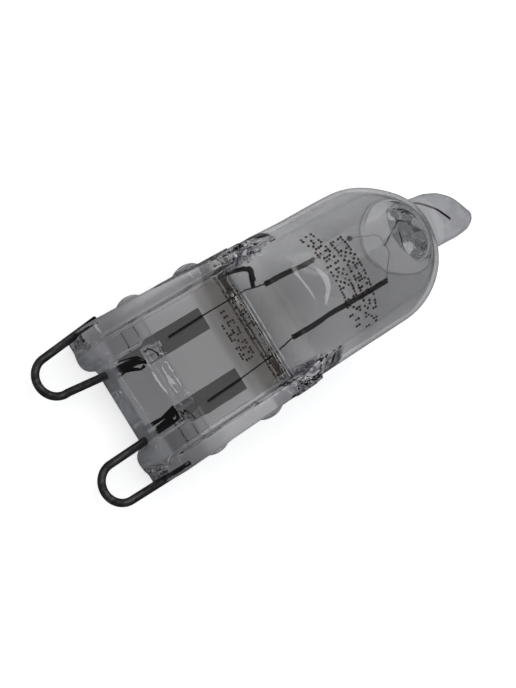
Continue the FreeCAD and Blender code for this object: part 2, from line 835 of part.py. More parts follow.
# A hooked wire held in the closed stub carries the top of the filament.
top_support_blank = new_body("top_support_blank")
wire(
    top_support_blank,
    "top_support_wire",
    [
        (size("bulb_end") + size("top_support_anchor"), size("top_support_anchor_offset")),
        (size("bulb_end") - size("top_support_bend"), size("top_support_bow")),
        (bridge_place - size("support_overlap"), -size("top_support_hook_offset")),
    ],
    size("top_support_diameter"),
    filament_level,
)

# A short stout wire set in the shoulder holds the foot of the left coil.
foot_support_blank = new_body("foot_support_blank")
wire(
    foot_support_blank,
    "foot_support_wire",
    [
        (size("foot_support_anchor"), size("foot_support_offset")),
        (
            size("foot_support_rise") - size("foot_support_corner"),
            size("foot_support_offset") - size("foot_support_lean"),
        ),
        (
            size("foot_support_rise"),
            size("foot_support_offset") - size("foot_support_lean") - size("foot_support_corner"),
        ),
        (
            size("left_coil_start") - size("support_overlap") * 2,
            size("left_coil_foot_offset") - size("support_overlap"),
        ),
    ],
    size("foot_support_diameter"),
    filament_level,
)


def cut(name, base, tool):
    feature = doc.addObject("Part::Cut", name)
    feature.Base = base
    feature.Tool = tool
    feature.Refine = True
    return feature


def join(name, things):
    feature = doc.addObject("Part::MultiFuse", name)
    feature.Shapes = things
    feature.Refine = True
    return feature


def overlap(name, things):
    feature = doc.addObject("Part::MultiCommon", name)
    feature.Shapes = things
    feature.Refine = True
    return feature


doc.recompute()

top_support = cut("top_support", top_support_blank, filament)
foot_support = cut("foot_support", foot_support_blank, filament)

foot_bars = join("foot_bars", rib_bars)
foot_ribs = overlap("foot_ribs", [foot_bars, plan_body, side_body])
foot_pads = join("foot_pads", lobe_bars)
foot_lobes = overlap("foot_lobes", [foot_pads, plan_body])
bulb_blank = overlap("bulb_blank", [bulb_body, shoulder_body])
glass_blank = join(
    "glass_blank",
    [web_body, foot_ribs, foot_lobes, bump_body, bulb_blank, tip_body] + gusset_bodies,
)
cavity = overlap("cavity", [cavity_body, cavity_side, cavity_plan])
glass_hollow = cut("glass_hollow", glass_blank, cavity)
glass_envelope = glass_hollow
for insert in (left_foil, right_foil, left_loop, right_loop, filament, top_support, foot_support):
    glass_envelope = cut("glass_without_%s" % insert.Label, glass_envelope, insert)
glass_envelope.Label = "glass_envelope"
doc.recompute()

SUB_PARTS = [
    glass_envelope,
    left_loop,
    right_loop,
    left_foil,
    right_foil,
    filament,
    top_support,
    foot_support,
]

failed = [o.Name for o in doc.Objects if "Invalid" in o.State or "Error" in o.State]
if failed:
    raise RuntimeError("objects that failed: %s" % ", ".join(failed))

os.makedirs("parts", exist_ok=True)
for piece in SUB_PARTS:
    shape = piece.Shape
    if shape.isNull() or not shape.isValid():
        raise RuntimeError("%s has no valid shape" % piece.Label)
    if len(shape.Solids) != 1:
        raise RuntimeError("%s is %d solids" % (piece.Label, len(shape.Solids)))
    shape.exportStep("parts/%s.step" % piece.Label)
    box = shape.optimalBoundingBox(False)
    print(
        "%-20s %8.2f mm3  x %.2f..%.2f  y %.2f..%.2f  z %.2f..%.2f"
        % (piece.Label, shape.Volume, box.XMin, box.XMax, box.YMin, box.YMax, box.ZMin, box.ZMax)
    )
print("resting turn %.4f degrees, shift %.4f, rise %.4f" % (rest_tilt.value, rest_shift.value, rest_rise.value))
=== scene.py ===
import math
import random

import bpy
from mathutils import Matrix, Vector


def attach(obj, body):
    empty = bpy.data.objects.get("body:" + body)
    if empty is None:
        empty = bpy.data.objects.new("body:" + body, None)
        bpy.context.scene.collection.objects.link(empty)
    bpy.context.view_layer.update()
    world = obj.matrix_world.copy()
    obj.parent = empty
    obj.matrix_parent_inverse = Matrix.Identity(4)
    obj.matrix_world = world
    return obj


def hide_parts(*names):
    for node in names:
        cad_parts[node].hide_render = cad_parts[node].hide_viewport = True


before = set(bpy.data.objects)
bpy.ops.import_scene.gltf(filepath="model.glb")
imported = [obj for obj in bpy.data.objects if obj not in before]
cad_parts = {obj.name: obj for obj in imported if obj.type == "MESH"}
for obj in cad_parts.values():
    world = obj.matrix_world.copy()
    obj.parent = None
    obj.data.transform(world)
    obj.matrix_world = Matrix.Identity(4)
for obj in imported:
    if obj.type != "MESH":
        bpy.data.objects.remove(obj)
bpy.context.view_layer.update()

random.seed(7)

# The lamp's own frame is in millimetres: x runs from the foot's edge to the dome, y across with
# the left loop at +y, z out of the broad face. These turn it into the row's frame, lying at rest.
MM = 0.001
TILT = math.radians(12.8178)
LAID = Matrix.Translation((-15.6208 * MM, 0.0, 2.2957 * MM)) @ Matrix.Rotation(-TILT, 4, "Y")
LAMP_TO_ROW = LAID @ Matrix.Scale(MM, 4)

# Sizes of the glass, the same as the solids have.
BULB_RADIUS = 6.1
CAVITY_RADIUS = 5.75
DOME_CENTRE = 25.2
BULB_END = 31.3
BULB_START = 16.8
SKIRT_START = 12.0
SKIRT_ROUND = 0.5
CAVITY_START = 12.9
HALF_FOOT = 6.35
HALF_RIB = 2.5
RIB_INNER = 4.95
RIB_END = 15.1
HALF_WEB = 1.4
LOBE_DROP = 0.78
FACE_ROUND = 3.0
RING_RADIUS = 3.9
RING_PLACE = DOME_CENTRE + math.sqrt(CAVITY_RADIUS ** 2 - RING_RADIUS ** 2)
FACE_SLOPE = math.radians(26.0)

# Sizes of the wires and foils, and the levels that they lie at in the glass.
WIRE_RADIUS = 0.31
LOOP_CENTRE = 4.5
LOOP_INSET = 0.35
LOOP_REACH = 5.0
OUTER_LEG_END = 1.6
INNER_LEG_END = 2.3
LEG_STEPS = 8
FOIL_LEVEL = -0.23
FOIL_CENTRE = 5.1
FOIL_LENGTH = 8.3
FOIL_WIDTH = 1.84
FOIL_THICKNESS = 0.04
FILAMENT_LEVEL = -0.16
COIL_DIAMETER = 0.46
COIL_WIRE = 0.055
COIL_PITCH = 0.14
WELD_WIRE = 0.1
BRIDGE_WIRE = 0.022
TOP_HOOK_WIRE = 0.08
FOOT_HOOK_WIRE = 0.185

# The sharpest turn, in degrees, that a wire still shades smoothly over.
WIRE_CREASE = 50

# The voxel remesh that melts the pressed forms together, the rounds of smoothing after it, and
# where the bulb starts and is fully back on its true round.
FORM_VOXEL = 0.17
SHELL_VOXEL = 0.15
FORM_SOFTENING = 420
SHELL_SOFTENING = 60
HOLLOW_SOFTENING = 40
NECK_SOFTENING = 70
TRUE_START = 21.8
TRUE_FULL = 23.3
TRUE_REACH = 0.06

# How far the dome leans off the axis, how much its upper side is drawn in, and its dent there:
# depth, and the angle from the side and spread in degrees.
LEAN = 0.09
DRAWN_IN = 0.13
DENT = 0.42
DENT_ANGLE = 42.0
DENT_SPREAD = 30.0


# Modelling helpers

def only(obj):
    bpy.ops.object.select_all(action="DESELECT")
    obj.select_set(True)
    bpy.context.view_layer.objects.active = obj


def settle(obj):
    only(obj)
    bpy.ops.object.transform_apply(location=True, rotation=True, scale=True)
    return obj


def named(name):
    obj = bpy.context.object
    obj.name = name
    obj.data.name = name
    return settle(obj)


def edit(obj):
    only(obj)
    bpy.ops.object.mode_set(mode="EDIT")
    bpy.ops.mesh.select_all(action="SELECT")


def leave_edit():
    bpy.ops.mesh.select_all(action="SELECT")
    bpy.ops.mesh.remove_doubles(threshold=0.0005)
    bpy.ops.mesh.normals_make_consistent(inside=False)
    bpy.ops.object.mode_set(mode="OBJECT")


def work(obj, kind, **settings):
    only(obj)
    step = obj.modifiers.new(kind.lower(), kind)
    for key, value in settings.items():
        setattr(step, key, value)
    bpy.ops.object.modifier_apply(modifier=step.name)
    return obj


def keep_common(obj, other):
    work(obj, "BOOLEAN", operation="INTERSECT", solver="EXACT", object=other)
    bpy.data.objects.remove(other)
    return obj


def joined(name, parts):
    bpy.ops.object.select_all(action="DESELECT")
    for part in parts:
        part.select_set(True)
    bpy.context.view_layer.objects.active = parts[0]
    if len(parts) > 1:
        bpy.ops.object.join()
    return named(name)


def block(name, corners, across, low, high):
    # An outline in the side view (across y) or in the plan (across z), pushed out to its depth.
    bpy.ops.mesh.primitive_circle_add(vertices=len(corners), radius=1.0, fill_type="NGON")
    obj = named(name)
    for vertex, (a, b) in zip(obj.data.vertices, corners):
        vertex.co = (a, low, b) if across == "y" else (a, b, low)
    depth = high - low
    move = (0.0, depth, 0.0) if across == "y" else (0.0, 0.0, depth)
    edit(obj)
    bpy.ops.mesh.extrude_region_move(TRANSFORM_OT_translate={"value": move})
    leave_edit()
    return obj


def drawn(name, rings, corners=24):
    # A round section drawn out along x through rings of (x, y, z, radius), closed at both ends.
    x, y, z, radius = rings[0]
    bpy.ops.mesh.primitive_circle_add(
        vertices=corners, radius=radius, fill_type="NGON",
        location=(x, y, z), rotation=(0.0, math.pi / 2, 0.0),
    )
    obj = named(name)
    edit(obj)
    for before, after in zip(rings, rings[1:]):
        step = [b - a for a, b in zip(before[:3], after[:3])]
        bpy.ops.mesh.extrude_region_move(TRANSFORM_OT_translate={"value": step})
        grow = after[3] / before[3]
        bpy.ops.transform.resize(value=(grow, grow, grow), center_override=after[:3])
    leave_edit()
    return obj


def smooth(obj, angle):
    only(obj)
    bpy.ops.object.shade_smooth_by_angle(angle=math.radians(angle))
    return obj


def place(obj, slot, *nodes):
    # Turns a piece made in the lamp's frame into the row's frame and lets it stand for its solid.
    obj.data.transform(LAMP_TO_ROW)
    obj.data.update()
    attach(obj, "root")
    if nodes:
        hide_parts(*nodes)
    return obj


# Shader helpers

class Value:
    # A socket that takes part in sums, so that a pattern reads like its formula.
    def __init__(self, finish, socket):
        self.finish = finish
        self.socket = socket

    def _sum(self, operation, first, second):
        return self.finish.add("ShaderNodeMath", {"operation": operation}, {0: first, 1: second})

    def __add__(self, other):
        return self._sum("ADD", self, other)

    def __radd__(self, other):
        return self._sum("ADD", other, self)

    def __sub__(self, other):
        return self._sum("SUBTRACT", self, other)

    def __rsub__(self, other):
        return self._sum("SUBTRACT", other, self)

    def __mul__(self, other):
        return self._sum("MULTIPLY", self, other)

    def __rmul__(self, other):
        return self._sum("MULTIPLY", other, self)


class Finish:
    # One material and its nodes.
    def __init__(self, name):
        self.material = bpy.data.materials.new(name)
        self.material.use_nodes = True
        self.tree = self.material.node_tree
        self.tree.nodes.clear()

    def add(self, kind, settings=None, values=None, out=0):
        node = self.tree.nodes.new(kind)
        for key, value in (settings or {}).items():
            setattr(node, key, value)
        for key, value in (values or {}).items():
            if isinstance(value, Value):
                self.tree.links.new(value.socket, node.inputs[key])
            else:
                node.inputs[key].default_value = value
        return Value(self, node.outputs[out])

    def lamp_point(self):
        # Object coordinates turned back into the lamp's frame, in millimetres.
        back = LAID.inverted()
        point = self.add("ShaderNodeTexCoord", out="Object")
        return self.add(
            "ShaderNodeMapping", None,
            {
                "Vector": point,
                "Location": back.translation / MM,
                "Rotation": (0.0, TILT, 0.0),
                "Scale": (1.0 / MM, 1.0 / MM, 1.0 / MM),
            },
        )

    def stretched(self, point, factors):
        return self.add("ShaderNodeMapping", None, {"Vector": point, "Scale": factors})

    def parts(self, point):
        split = self.add("ShaderNodeSeparateXYZ", None, {0: point})
        node = split.socket.node
        return [Value(self, node.outputs[i]) for i in range(3)]

    def rise(self, value, low, high):
        # 0 below low, 1 above high, and a soft step between.
        return self.add(
            "ShaderNodeMapRange", {"interpolation_type": "SMOOTHSTEP"},
            {"Value": value, "From Min": low, "From Max": high},
        )

    def band(self, value, start, full, fall, stop):
        # 1 between full and fall, 0 before start and after stop.
        return self.rise(value, start, full) * (1.0 - self.rise(value, fall, stop))

    def length(self, first, second):
        return self.add("ShaderNodeMath", {"operation": "SQRT"}, {0: first * first + second * second})

    def size(self, value):
        return self.add("ShaderNodeMath", {"operation": "ABSOLUTE"}, {0: value})

    def noise(self, point, scale, detail=2.0, roughness=0.5, distortion=0.0):
        return self.add(
            "ShaderNodeTexNoise", None,
            {
                "Vector": point, "Scale": scale, "Detail": detail,
                "Roughness": roughness, "Distortion": distortion,
            },
        )

    def tint(self, factor, first, second):
        return self.add(
            "ShaderNodeMix", {"data_type": "RGBA"}, {0: factor, 6: first, 7: second}, out=2
        )

    def bump(self, height, distance, strength=1.0):
        return self.add(
            "ShaderNodeBump", None, {"Height": height, "Distance": distance, "Strength": strength}
        )

    def mix(self, factor, first, second):
        # The first shader where the factor is 0, the second where it is 1.
        return self.add("ShaderNodeMixShader", None, {0: factor, 1: first, 2: second})

    def diffuse(self, tone):
        return self.add("ShaderNodeBsdfDiffuse", None, {0: tone})

    def glow(self, tone, strength):
        return self.add("ShaderNodeEmission", None, {0: tone, 1: strength})

    def rays(self):
        # The rays seen by the camera, through glass, and mirrored. A ray bent by glass counts
        # as glossy too, so the mirrored ones are those that are glossy and not bent.
        seen = self.add("ShaderNodeLightPath", out="Is Camera Ray")
        outputs = seen.socket.node.outputs
        through = Value(self, outputs["Is Transmission Ray"])
        return seen, through, Value(self, outputs["Is Glossy Ray"]) - through

    def close(self, shader):
        node = self.tree.nodes.new("ShaderNodeOutputMaterial")
        self.tree.links.new(shader.socket, node.inputs["Surface"])
        return self.material


def colour(red, green, blue):
    return (red, green, blue, 1.0)


# Finishes

WHITE = colour(1.0, 1.0, 1.0)

# Tones of the glass from its foot to its tip: the solid foot and tip are darker than the wall.
WALL = colour(0.5, 0.5, 0.503)
# Painted light: the upper side of the wall is lighter.
UPPER_WALL_PAINTED_LIGHT = colour(0.65, 0.65, 0.655)
SHOULDER_TONE = colour(0.8, 0.8, 0.803)
PRESSED_TONE = colour(0.36, 0.36, 0.372)
TIP_TONE = colour(0.46, 0.46, 0.475)
# Painted light: the window panel is lighter, in place of a reflection.
PANEL_PAINTED_LIGHT = colour(0.7, 0.7, 0.705)
FOOT_TONE = colour(0.38, 0.38, 0.394)
# Painted shade: a dark band across the foot before the shoulders.
BAND_PAINTED_SHADE = colour(0.22, 0.205, 0.19)
# Painted light: the ribs are lighter.
RIB_PAINTED_LIGHT = colour(0.66, 0.66, 0.67)
# Painted shade: the foot's corners and the glass's rim are darker.
CORNER_AND_RIM_PAINTED_SHADE = colour(0.17, 0.17, 0.182)
CLOUD_TONE = colour(0.25, 0.25, 0.265)
# Painted shade: the dark knobs.
KNOB_PAINTED_SHADE = colour(0.13, 0.128, 0.162)
NOSE_TONE = colour(0.9, 0.9, 0.9)
# Painted shade: the dark ring and rib edge lines.
EDGE_LINE_PAINTED_SHADE = colour(0.1, 0.1, 0.105)
SHADOW_TONE = colour(0.86, 0.86, 0.87)
# Painted highlight: the white lines.
PAINTED_HIGHLIGHT = colour(0.8, 0.8, 0.8)
# Painted shade: the dull dark field.
MATT_SHADE = colour(0.19, 0.174, 0.16)
FROST = colour(0.4, 0.4, 0.42)

# Where the pressed window starts and ends, and the two lines of the ridge across the foot.
WINDOW_EDGES = (4.6, 5.4, 13.0, 13.4)
FIRST_RIDGE = (2.42, 2.48, 2.54, 2.6)
SECOND_RIDGE = (3.72, 3.78, 3.84, 3.9)
JAW_RELIEF = 0.00022


class GlassZones:
    # Masks from 0 to 1 for the parts of the glass that look different.
    def __init__(self, finish):
        self.point = finish.lamp_point()
        self.x, self.y, self.z = finish.parts(self.point)
        self.side = finish.size(self.y)
        self.pinch = 1.0 - finish.rise(self.x, 12.6, 15.4)
        self.foot = 1.0 - finish.rise(self.x, 1.5, 5.0)
        self.end = finish.rise(self.x, 31.6, 33.0)
        self.upper = finish.rise(self.y, 1.0, 5.0)
        self.lower = 1.0 - finish.rise(self.y, -1.0, 1.0)
        self.rim = finish.rise(self.side, 4.7, 5.2) * self.pinch
        self.gusset = finish.band(self.x, 10.9, 11.5, 14.2, 15.2) * finish.rise(self.side, 4.2, 4.7)
        self.patch = finish.band(self.x, 14.6, 15.1, 16.2, 16.9) * finish.rise(self.side, 4.7, 5.1)
        self.face = finish.rise(self.z, 0.9, 1.2)
        self.middle = 1.0 - finish.rise(self.side, 4.6, 4.9)


def pressed_tones(finish, at):
    # Tones of the pressed parts, from the wall down to the foot's end.
    x, y, side = at.x, at.y, at.side
    # Painted light: the upper side of the wall is made lighter.
    shade = finish.tint(at.upper, WALL, UPPER_WALL_PAINTED_LIGHT)
    shade = finish.tint(finish.band(x, 12.8, 14.0, 17.0, 20.0) * 0.75, shade, SHOULDER_TONE)
    shade = finish.tint(1.0 - finish.rise(x, 12.4, 13.4), shade, PRESSED_TONE)
    shade = finish.tint(at.end, shade, TIP_TONE)
    # Painted light: the window panel is made lighter, in place of a reflection.
    panel_light = finish.band(x, 3.8, 4.6, 9.4, 10.4) * (1.0 - finish.rise(side, 4.7, 5.0))
    shade = finish.tint(panel_light * 0.5, shade, PANEL_PAINTED_LIGHT)
    shade = finish.tint((1.0 - finish.rise(x, 1.5, 3.0)) * 0.5, shade, FOOT_TONE)
    # Painted shade: a dark band across the foot, from the print up to the shoulders' corner.
    shade = finish.tint(finish.band(x, 9.4, 10.4, 12.2, 12.7) * 0.9, shade, BAND_PAINTED_SHADE)
    # Painted light: the ribs are made lighter, the upper rib only at its outer edge.
    rib_light = finish.rise(y, 5.7, 6.0) * 0.8 + at.lower * finish.rise(0.0 - y, 4.95, 5.1)
    shade = finish.tint(rib_light * finish.band(x, 3.5, 5.0, 11.5, 12.8) * 0.8, shade, RIB_PAINTED_LIGHT)
    # Painted shade: the foot's rounded corners are darker, the lower one more so.
    lobe_shade = (1.0 - finish.rise(x, 1.5, 4.0)) * finish.rise(side, 2.8, 3.6)
    return finish.tint(lobe_shade * (0.5 + 0.45 * at.lower), shade, CORNER_AND_RIM_PAINTED_SHADE)


def clouds_and_painted_shade(finish, at, shade):
    # Faint clouds, and painted shade: dark knobs at the gussets and the tip's end, and a darker rim
    # where the glass turns away from view.
    cloud = finish.noise(at.point, 0.35, 2.0)
    shade = finish.tint(cloud * 0.16, shade, CLOUD_TONE)
    blotch = finish.noise(at.point, 0.9, 2.0, 0.5, 0.6)
    strength = at.gusset * 0.8 + at.patch * 0.9 + at.end * 0.3
    knob_shade = finish.rise(blotch + 0.08 * at.lower, 0.49, 0.56) * strength
    shade = finish.tint(knob_shade, shade, KNOB_PAINTED_SHADE)
    edge = finish.add("ShaderNodeLayerWeight", None, {"Blend": 0.35}, out="Facing")
    rim_shade = finish.rise(edge, 0.45, 0.95) * (0.85 - 0.5 * at.pinch)
    return finish.tint(rim_shade, shade, CORNER_AND_RIM_PAINTED_SHADE)


def ring_and_edge_lines(finish, at, shade):
    # Painted shade: a dark ring where the hollow's end was closed, with lighter glass inside it, and a
    # dark line along each rib's inner edge.
    out = finish.length(1.25 * at.y, at.z)
    reach = finish.length(at.x - DOME_CENTRE, finish.length(at.y, at.z))
    inside = (1.0 - finish.rise(reach, 5.9, 5.98)) * finish.rise(at.x, 26.5, 27.0)
    rings = inside * finish.band(out, 4.36, 4.44, 4.52, 4.6) * 0.8
    shade = finish.tint(inside * (1.0 - finish.rise(out, 4.3, 4.5)) * 0.75, shade, NOSE_TONE)
    rib_edge_shade = finish.band(at.side, 4.84, 4.9, 4.98, 5.04) * finish.band(at.x, -0.2, 0.4, 12.0, 13.0)
    return finish.tint((rings + rib_edge_shade) * 0.75, shade, EDGE_LINE_PAINTED_SHADE)


def jaw_relief(finish, at):
    # Waves and grain left by the jaws, least on the window and on the flats over the welds.
    x, point = at.x, at.point
    wave = finish.noise(finish.stretched(point, (0.55, 0.22, 0.5)), 1.6, 1.5, 0.5, 0.6)
    ripple = finish.noise(finish.stretched(point, (1.6, 0.3, 1.0)), 0.9, 1.0, 0.5, 0.4)
    sparkle = finish.noise(finish.stretched(point, (1.3, 1.0, 1.0)), 0.9, 0.0, 0.5, 0.8)
    ridge = finish.band(x, 2.2, 2.8, 4.2, 4.8)
    window = finish.band(x, *WINDOW_EDGES) * (1.0 - finish.rise(at.side, 4.5, 4.9))
    wavy = (0.015 + 0.25 * at.pinch + at.rim * 0.2) * (1.0 - window * 0.93)
    flat = finish.band(x, 0.1, 0.6, 4.4, 4.9) * finish.band(at.side, 1.2, 1.6, 3.5, 3.9)
    swell = wave * wavy + ripple * at.foot * 0.3 + sparkle * ridge * 0.3
    swell = swell * (1.0 - 0.95 * flat)
    swell = swell + sparkle * (at.gusset * 1.5 + at.patch * 1.4)
    return finish.bump(swell, JAW_RELIEF, 0.6)


def painted_highlight_lines(finish, at):
    # Painted highlights: fine white lines on the corner, the ridge and the lower rib, with specks by
    # the second ridge.
    x, y, face = at.x, at.y, at.face
    grain = finish.noise(finish.stretched(at.point, (1.0, 0.7, 1.0)), 1.6, 3.0, 0.6)
    broken = finish.rise(grain, 0.42, 0.56)
    corner = finish.band(x, 12.34, 12.39, 12.43, 12.48) + finish.band(x, 12.58, 12.62, 12.66, 12.7)
    corner = corner * (1.0 - 0.85 * finish.rise(y, 2.0, 3.0))
    first = x - 0.07 * (y - 0.6) * (y - 0.6)
    second = x - 0.06 * (y - 0.2) * (y - 0.2)
    ridges = finish.band(first, *FIRST_RIDGE) + finish.band(second, *SECOND_RIDGE)
    between = 1.0 - finish.rise(at.side, 1.8, 2.4)
    lines = (corner * at.middle * (0.4 + 0.4 * broken) + ridges * between * 0.9 * broken) * face
    low_rib = finish.band(y, -5.32, -5.26, -5.2, -5.14) + finish.band(y, -5.08, -5.02, -4.98, -4.92)
    lines = lines + low_rib * face * broken * finish.band(x, 7.0, 8.5, 12.5, 13.2) * 0.8
    speck = finish.rise(finish.noise(at.point, 4.0, 1.0, 0.5), 0.63, 0.67)
    return lines + speck * finish.band(second, 3.4, 3.6, 4.0, 4.3) * between * face * 0.8


def matt_shade_field(finish, at):
    # Painted shade: a dull, dark field under the foot's print, left clear over the filament's two
    # tails.
    mottle = finish.noise(at.point, 0.8, 3.0, 0.6, 0.5)
    field = finish.band(at.x + mottle * 0.6, 10.2, 11.2, 12.6, 12.65) * at.middle * at.face
    tails = finish.band(at.y, 2.5, 2.6, 2.8, 2.9) + finish.band(at.y, -2.95, -2.85, -2.65, -2.55)
    return field * (1.0 - tails) * (0.1 + 0.5 * mottle)


def glass_finish():
    # The clear glass, then its dull field of painted shade, its frosted end, its painted highlight
    # lines, and a light shadow.
    finish = Finish("pressed_clear_glass")
    at = GlassZones(finish)
    shade = ring_and_edge_lines(finish, at, clouds_and_painted_shade(finish, at, pressed_tones(finish, at)))
    glass = finish.add(
        "ShaderNodeBsdfPrincipled", None,
        {
            "Base Color": shade,
            "Roughness": 0.01 + at.pinch * 0.025,
            "IOR": 1.46,
            "Transmission Weight": 1.0,
            "Normal": jaw_relief(finish, at),
        },
    )
    # Painted shade: the dull dark field.
    glass = finish.mix(matt_shade_field(finish, at), glass, finish.diffuse(MATT_SHADE))
    foot_edge = (1.0 - finish.rise(at.x, 0.05, 0.5)) * at.middle
    glass = finish.mix(foot_edge * 0.5, glass, finish.diffuse(FROST))
    # Painted highlights: white lines over the glass.
    glass = finish.mix(painted_highlight_lines(finish, at), glass, finish.diffuse(PAINTED_HIGHLIGHT))
    clear = finish.add("ShaderNodeBsdfTransparent", None, {0: SHADOW_TONE})
    path = finish.add("ShaderNodeLightPath", out="Is Shadow Ray")
    return finish.close(finish.mix(path, glass, clear))


WELD_BLACK = colour(0.003, 0.003, 0.003)


def wire_finish():
    finish = Finish("dark_oxidised_wire")
    point = finish.lamp_point()
    x = finish.parts(point)[0]
    streak = finish.noise(finish.stretched(point, (0.5, 3.0, 3.0)), 1.4, 4.0, 0.6)
    speck = finish.noise(point, 7.0, 3.0, 0.6)
    patch = finish.rise(streak, 0.42, 0.66)
    shade = finish.tint(patch, colour(0.042, 0.042, 0.044), colour(0.11, 0.11, 0.112))
    welded = finish.rise(x, 0.4, 0.8)
    shade = finish.tint(welded, shade, WELD_BLACK)
    metal = finish.add(
        "ShaderNodeBsdfPrincipled", None,
        {
            "Base Color": shade,
            "Metallic": 0.75,
            "Roughness": 0.36 + speck * 0.22,
            "Normal": finish.bump(speck, 0.00003, 0.5),
        },
    )
    return finish.close(metal)


def foil_finish():
    finish = Finish("charcoal_foil")
    point = finish.lamp_point()
    x, y, z = finish.parts(point)
    grain = finish.noise(finish.stretched(point, (0.8, 2.5, 2.5)), 2.2, 3.0, 0.6)
    shade = finish.tint(grain, colour(0.68, 0.68, 0.685), colour(0.8, 0.8, 0.805))
    folded = finish.rise(finish.size(z - FOIL_LEVEL), 0.03, 0.032)
    shade = finish.tint(folded, shade, colour(0.004, 0.004, 0.004))

    # Towards the welded folds the foil thins out to a ragged veil.
    patch = finish.noise(finish.stretched(point, (0.6, 1.4, 1.0)), 1.0, 2.0, 0.5, 0.8)
    patch = finish.rise(patch, 0.44, 0.56)
    ragged = x + (patch - 0.5) * 0.7
    left = finish.rise(y, -0.2, 0.2)
    beside = finish.rise(y + 0.55 * x, 3.55, 3.75) * (1.0 - finish.rise(x, 3.2, 3.7)) * 0.8
    beside = left * (beside + finish.band(x, 3.2, 3.7, 5.0, 5.1) * (0.1 + 0.6 * patch))
    below = (1.0 - left) * finish.rise(x, 2.5, 3.1) * (0.5 + 0.35 * patch)
    veil = (beside + below) * finish.band(x, 1.1, 1.4, 5.0, 5.1)
    cover = finish.add(
        "ShaderNodeMath", {"operation": "MAXIMUM"}, {0: finish.rise(ragged, 4.5, 4.7) + folded, 1: veil}
    )
    metal = finish.add(
        "ShaderNodeBsdfPrincipled", None,
        {
            "Base Color": shade,
            "Roughness": 0.7 + grain * 0.2,
            "Specular IOR Level": 0.1,
            # Painted light: the flat sheet glows faintly though it is no lamp; the folded strokes don't
            # glow.
            "Emission Color": finish.tint(folded, colour(0.05, 0.05, 0.051), colour(0.0, 0.0, 0.0)),
            "Emission Strength": 1.0,
            "Alpha": cover,
            "Normal": finish.bump(grain, 0.00003, 0.4),
        },
    )
    return finish.close(metal)


def coil_finish():
    finish = Finish("tungsten_wire")
    point = finish.lamp_point()
    speck = finish.noise(point, 9.0, 2.0)
    x, y = finish.parts(point)[:2]
    shade = finish.tint(speck, colour(0.025, 0.025, 0.027), colour(0.07, 0.07, 0.073))
    # Painted light: the bridge is made light, as if it glinted, and only its knot and the coils are
    # dark.
    bridge = finish.rise(x, 21.6, 22.6) * finish.rise(y, -2.55, -2.2)
    bridge = bridge * (1.0 - finish.band(x, 24.6, 24.7, 25.4, 25.5))
    shade = finish.tint(bridge, shade, colour(0.8, 0.8, 0.8))
    shade = finish.tint(1.0 - finish.rise(x, 9.0, 9.4), shade, WELD_BLACK)
    metal = finish.add(
        "ShaderNodeBsdfPrincipled", None,
        {"Base Color": shade, "Metallic": 0.2, "Roughness": 0.5 + speck * 0.2},
    )
    return finish.close(metal)


def support_finish():
    finish = Finish("dark_support_wire")
    point = finish.lamp_point()
    speck = finish.noise(finish.stretched(point, (1.0, 2.0, 2.0)), 5.0, 3.0)
    x = finish.parts(point)[0]
    shade = finish.tint(speck, colour(0.03, 0.03, 0.032), colour(0.085, 0.085, 0.09))
    # Painted light: two stretches of the top hook are made light so that they fade into the glass.
    light = finish.band(x, 20.0, 21.0, 29.1, 29.5) + finish.band(x, 30.7, 31.2, 33.3, 33.7)
    shade = finish.tint(light, shade, colour(0.7, 0.7, 0.7))
    metal = finish.add(
        "ShaderNodeBsdfPrincipled", None,
        {
            "Base Color": shade,
            "Metallic": 0.6,
            "Roughness": 0.42 + speck * 0.18,
            "Normal": finish.bump(speck, 0.00002, 0.4),
        },
    )
    return finish.close(metal)


def ink_finish():
    finish = Finish("brown_black_ink")
    point = finish.lamp_point()
    speck = finish.noise(point, 3.0, 3.0, 0.6)
    shade = finish.tint(
        finish.rise(speck, 0.4, 0.62), colour(0.006, 0.004, 0.003), colour(0.075, 0.03, 0.012)
    )
    ink = finish.add(
        "ShaderNodeBsdfPrincipled", None, {"Base Color": shade, "Roughness": 0.55 + speck * 0.2}
    )
    return finish.close(ink)


# The glass

def shoulder_outline(half_web, foot_place, round_start, round_level, start, radius, far):
    # The side view of the shoulders: a slope up from the foot and an arc into the bulb.
    near = [(8.0, half_web), (foot_place, half_web), (round_start, round_level)]
    steps = 6
    top = math.pi / 2
    first = math.pi - FACE_SLOPE
    centre_z = BULB_RADIUS - FACE_ROUND
    for i in range(1, steps + 1):
        angle = first + (top - first) * i / steps
        near.append((start + radius * math.cos(angle), centre_z + radius * math.sin(angle)))
    near.append((far, centre_z + radius))
    return near + [(a, -b) for a, b in reversed(near)]


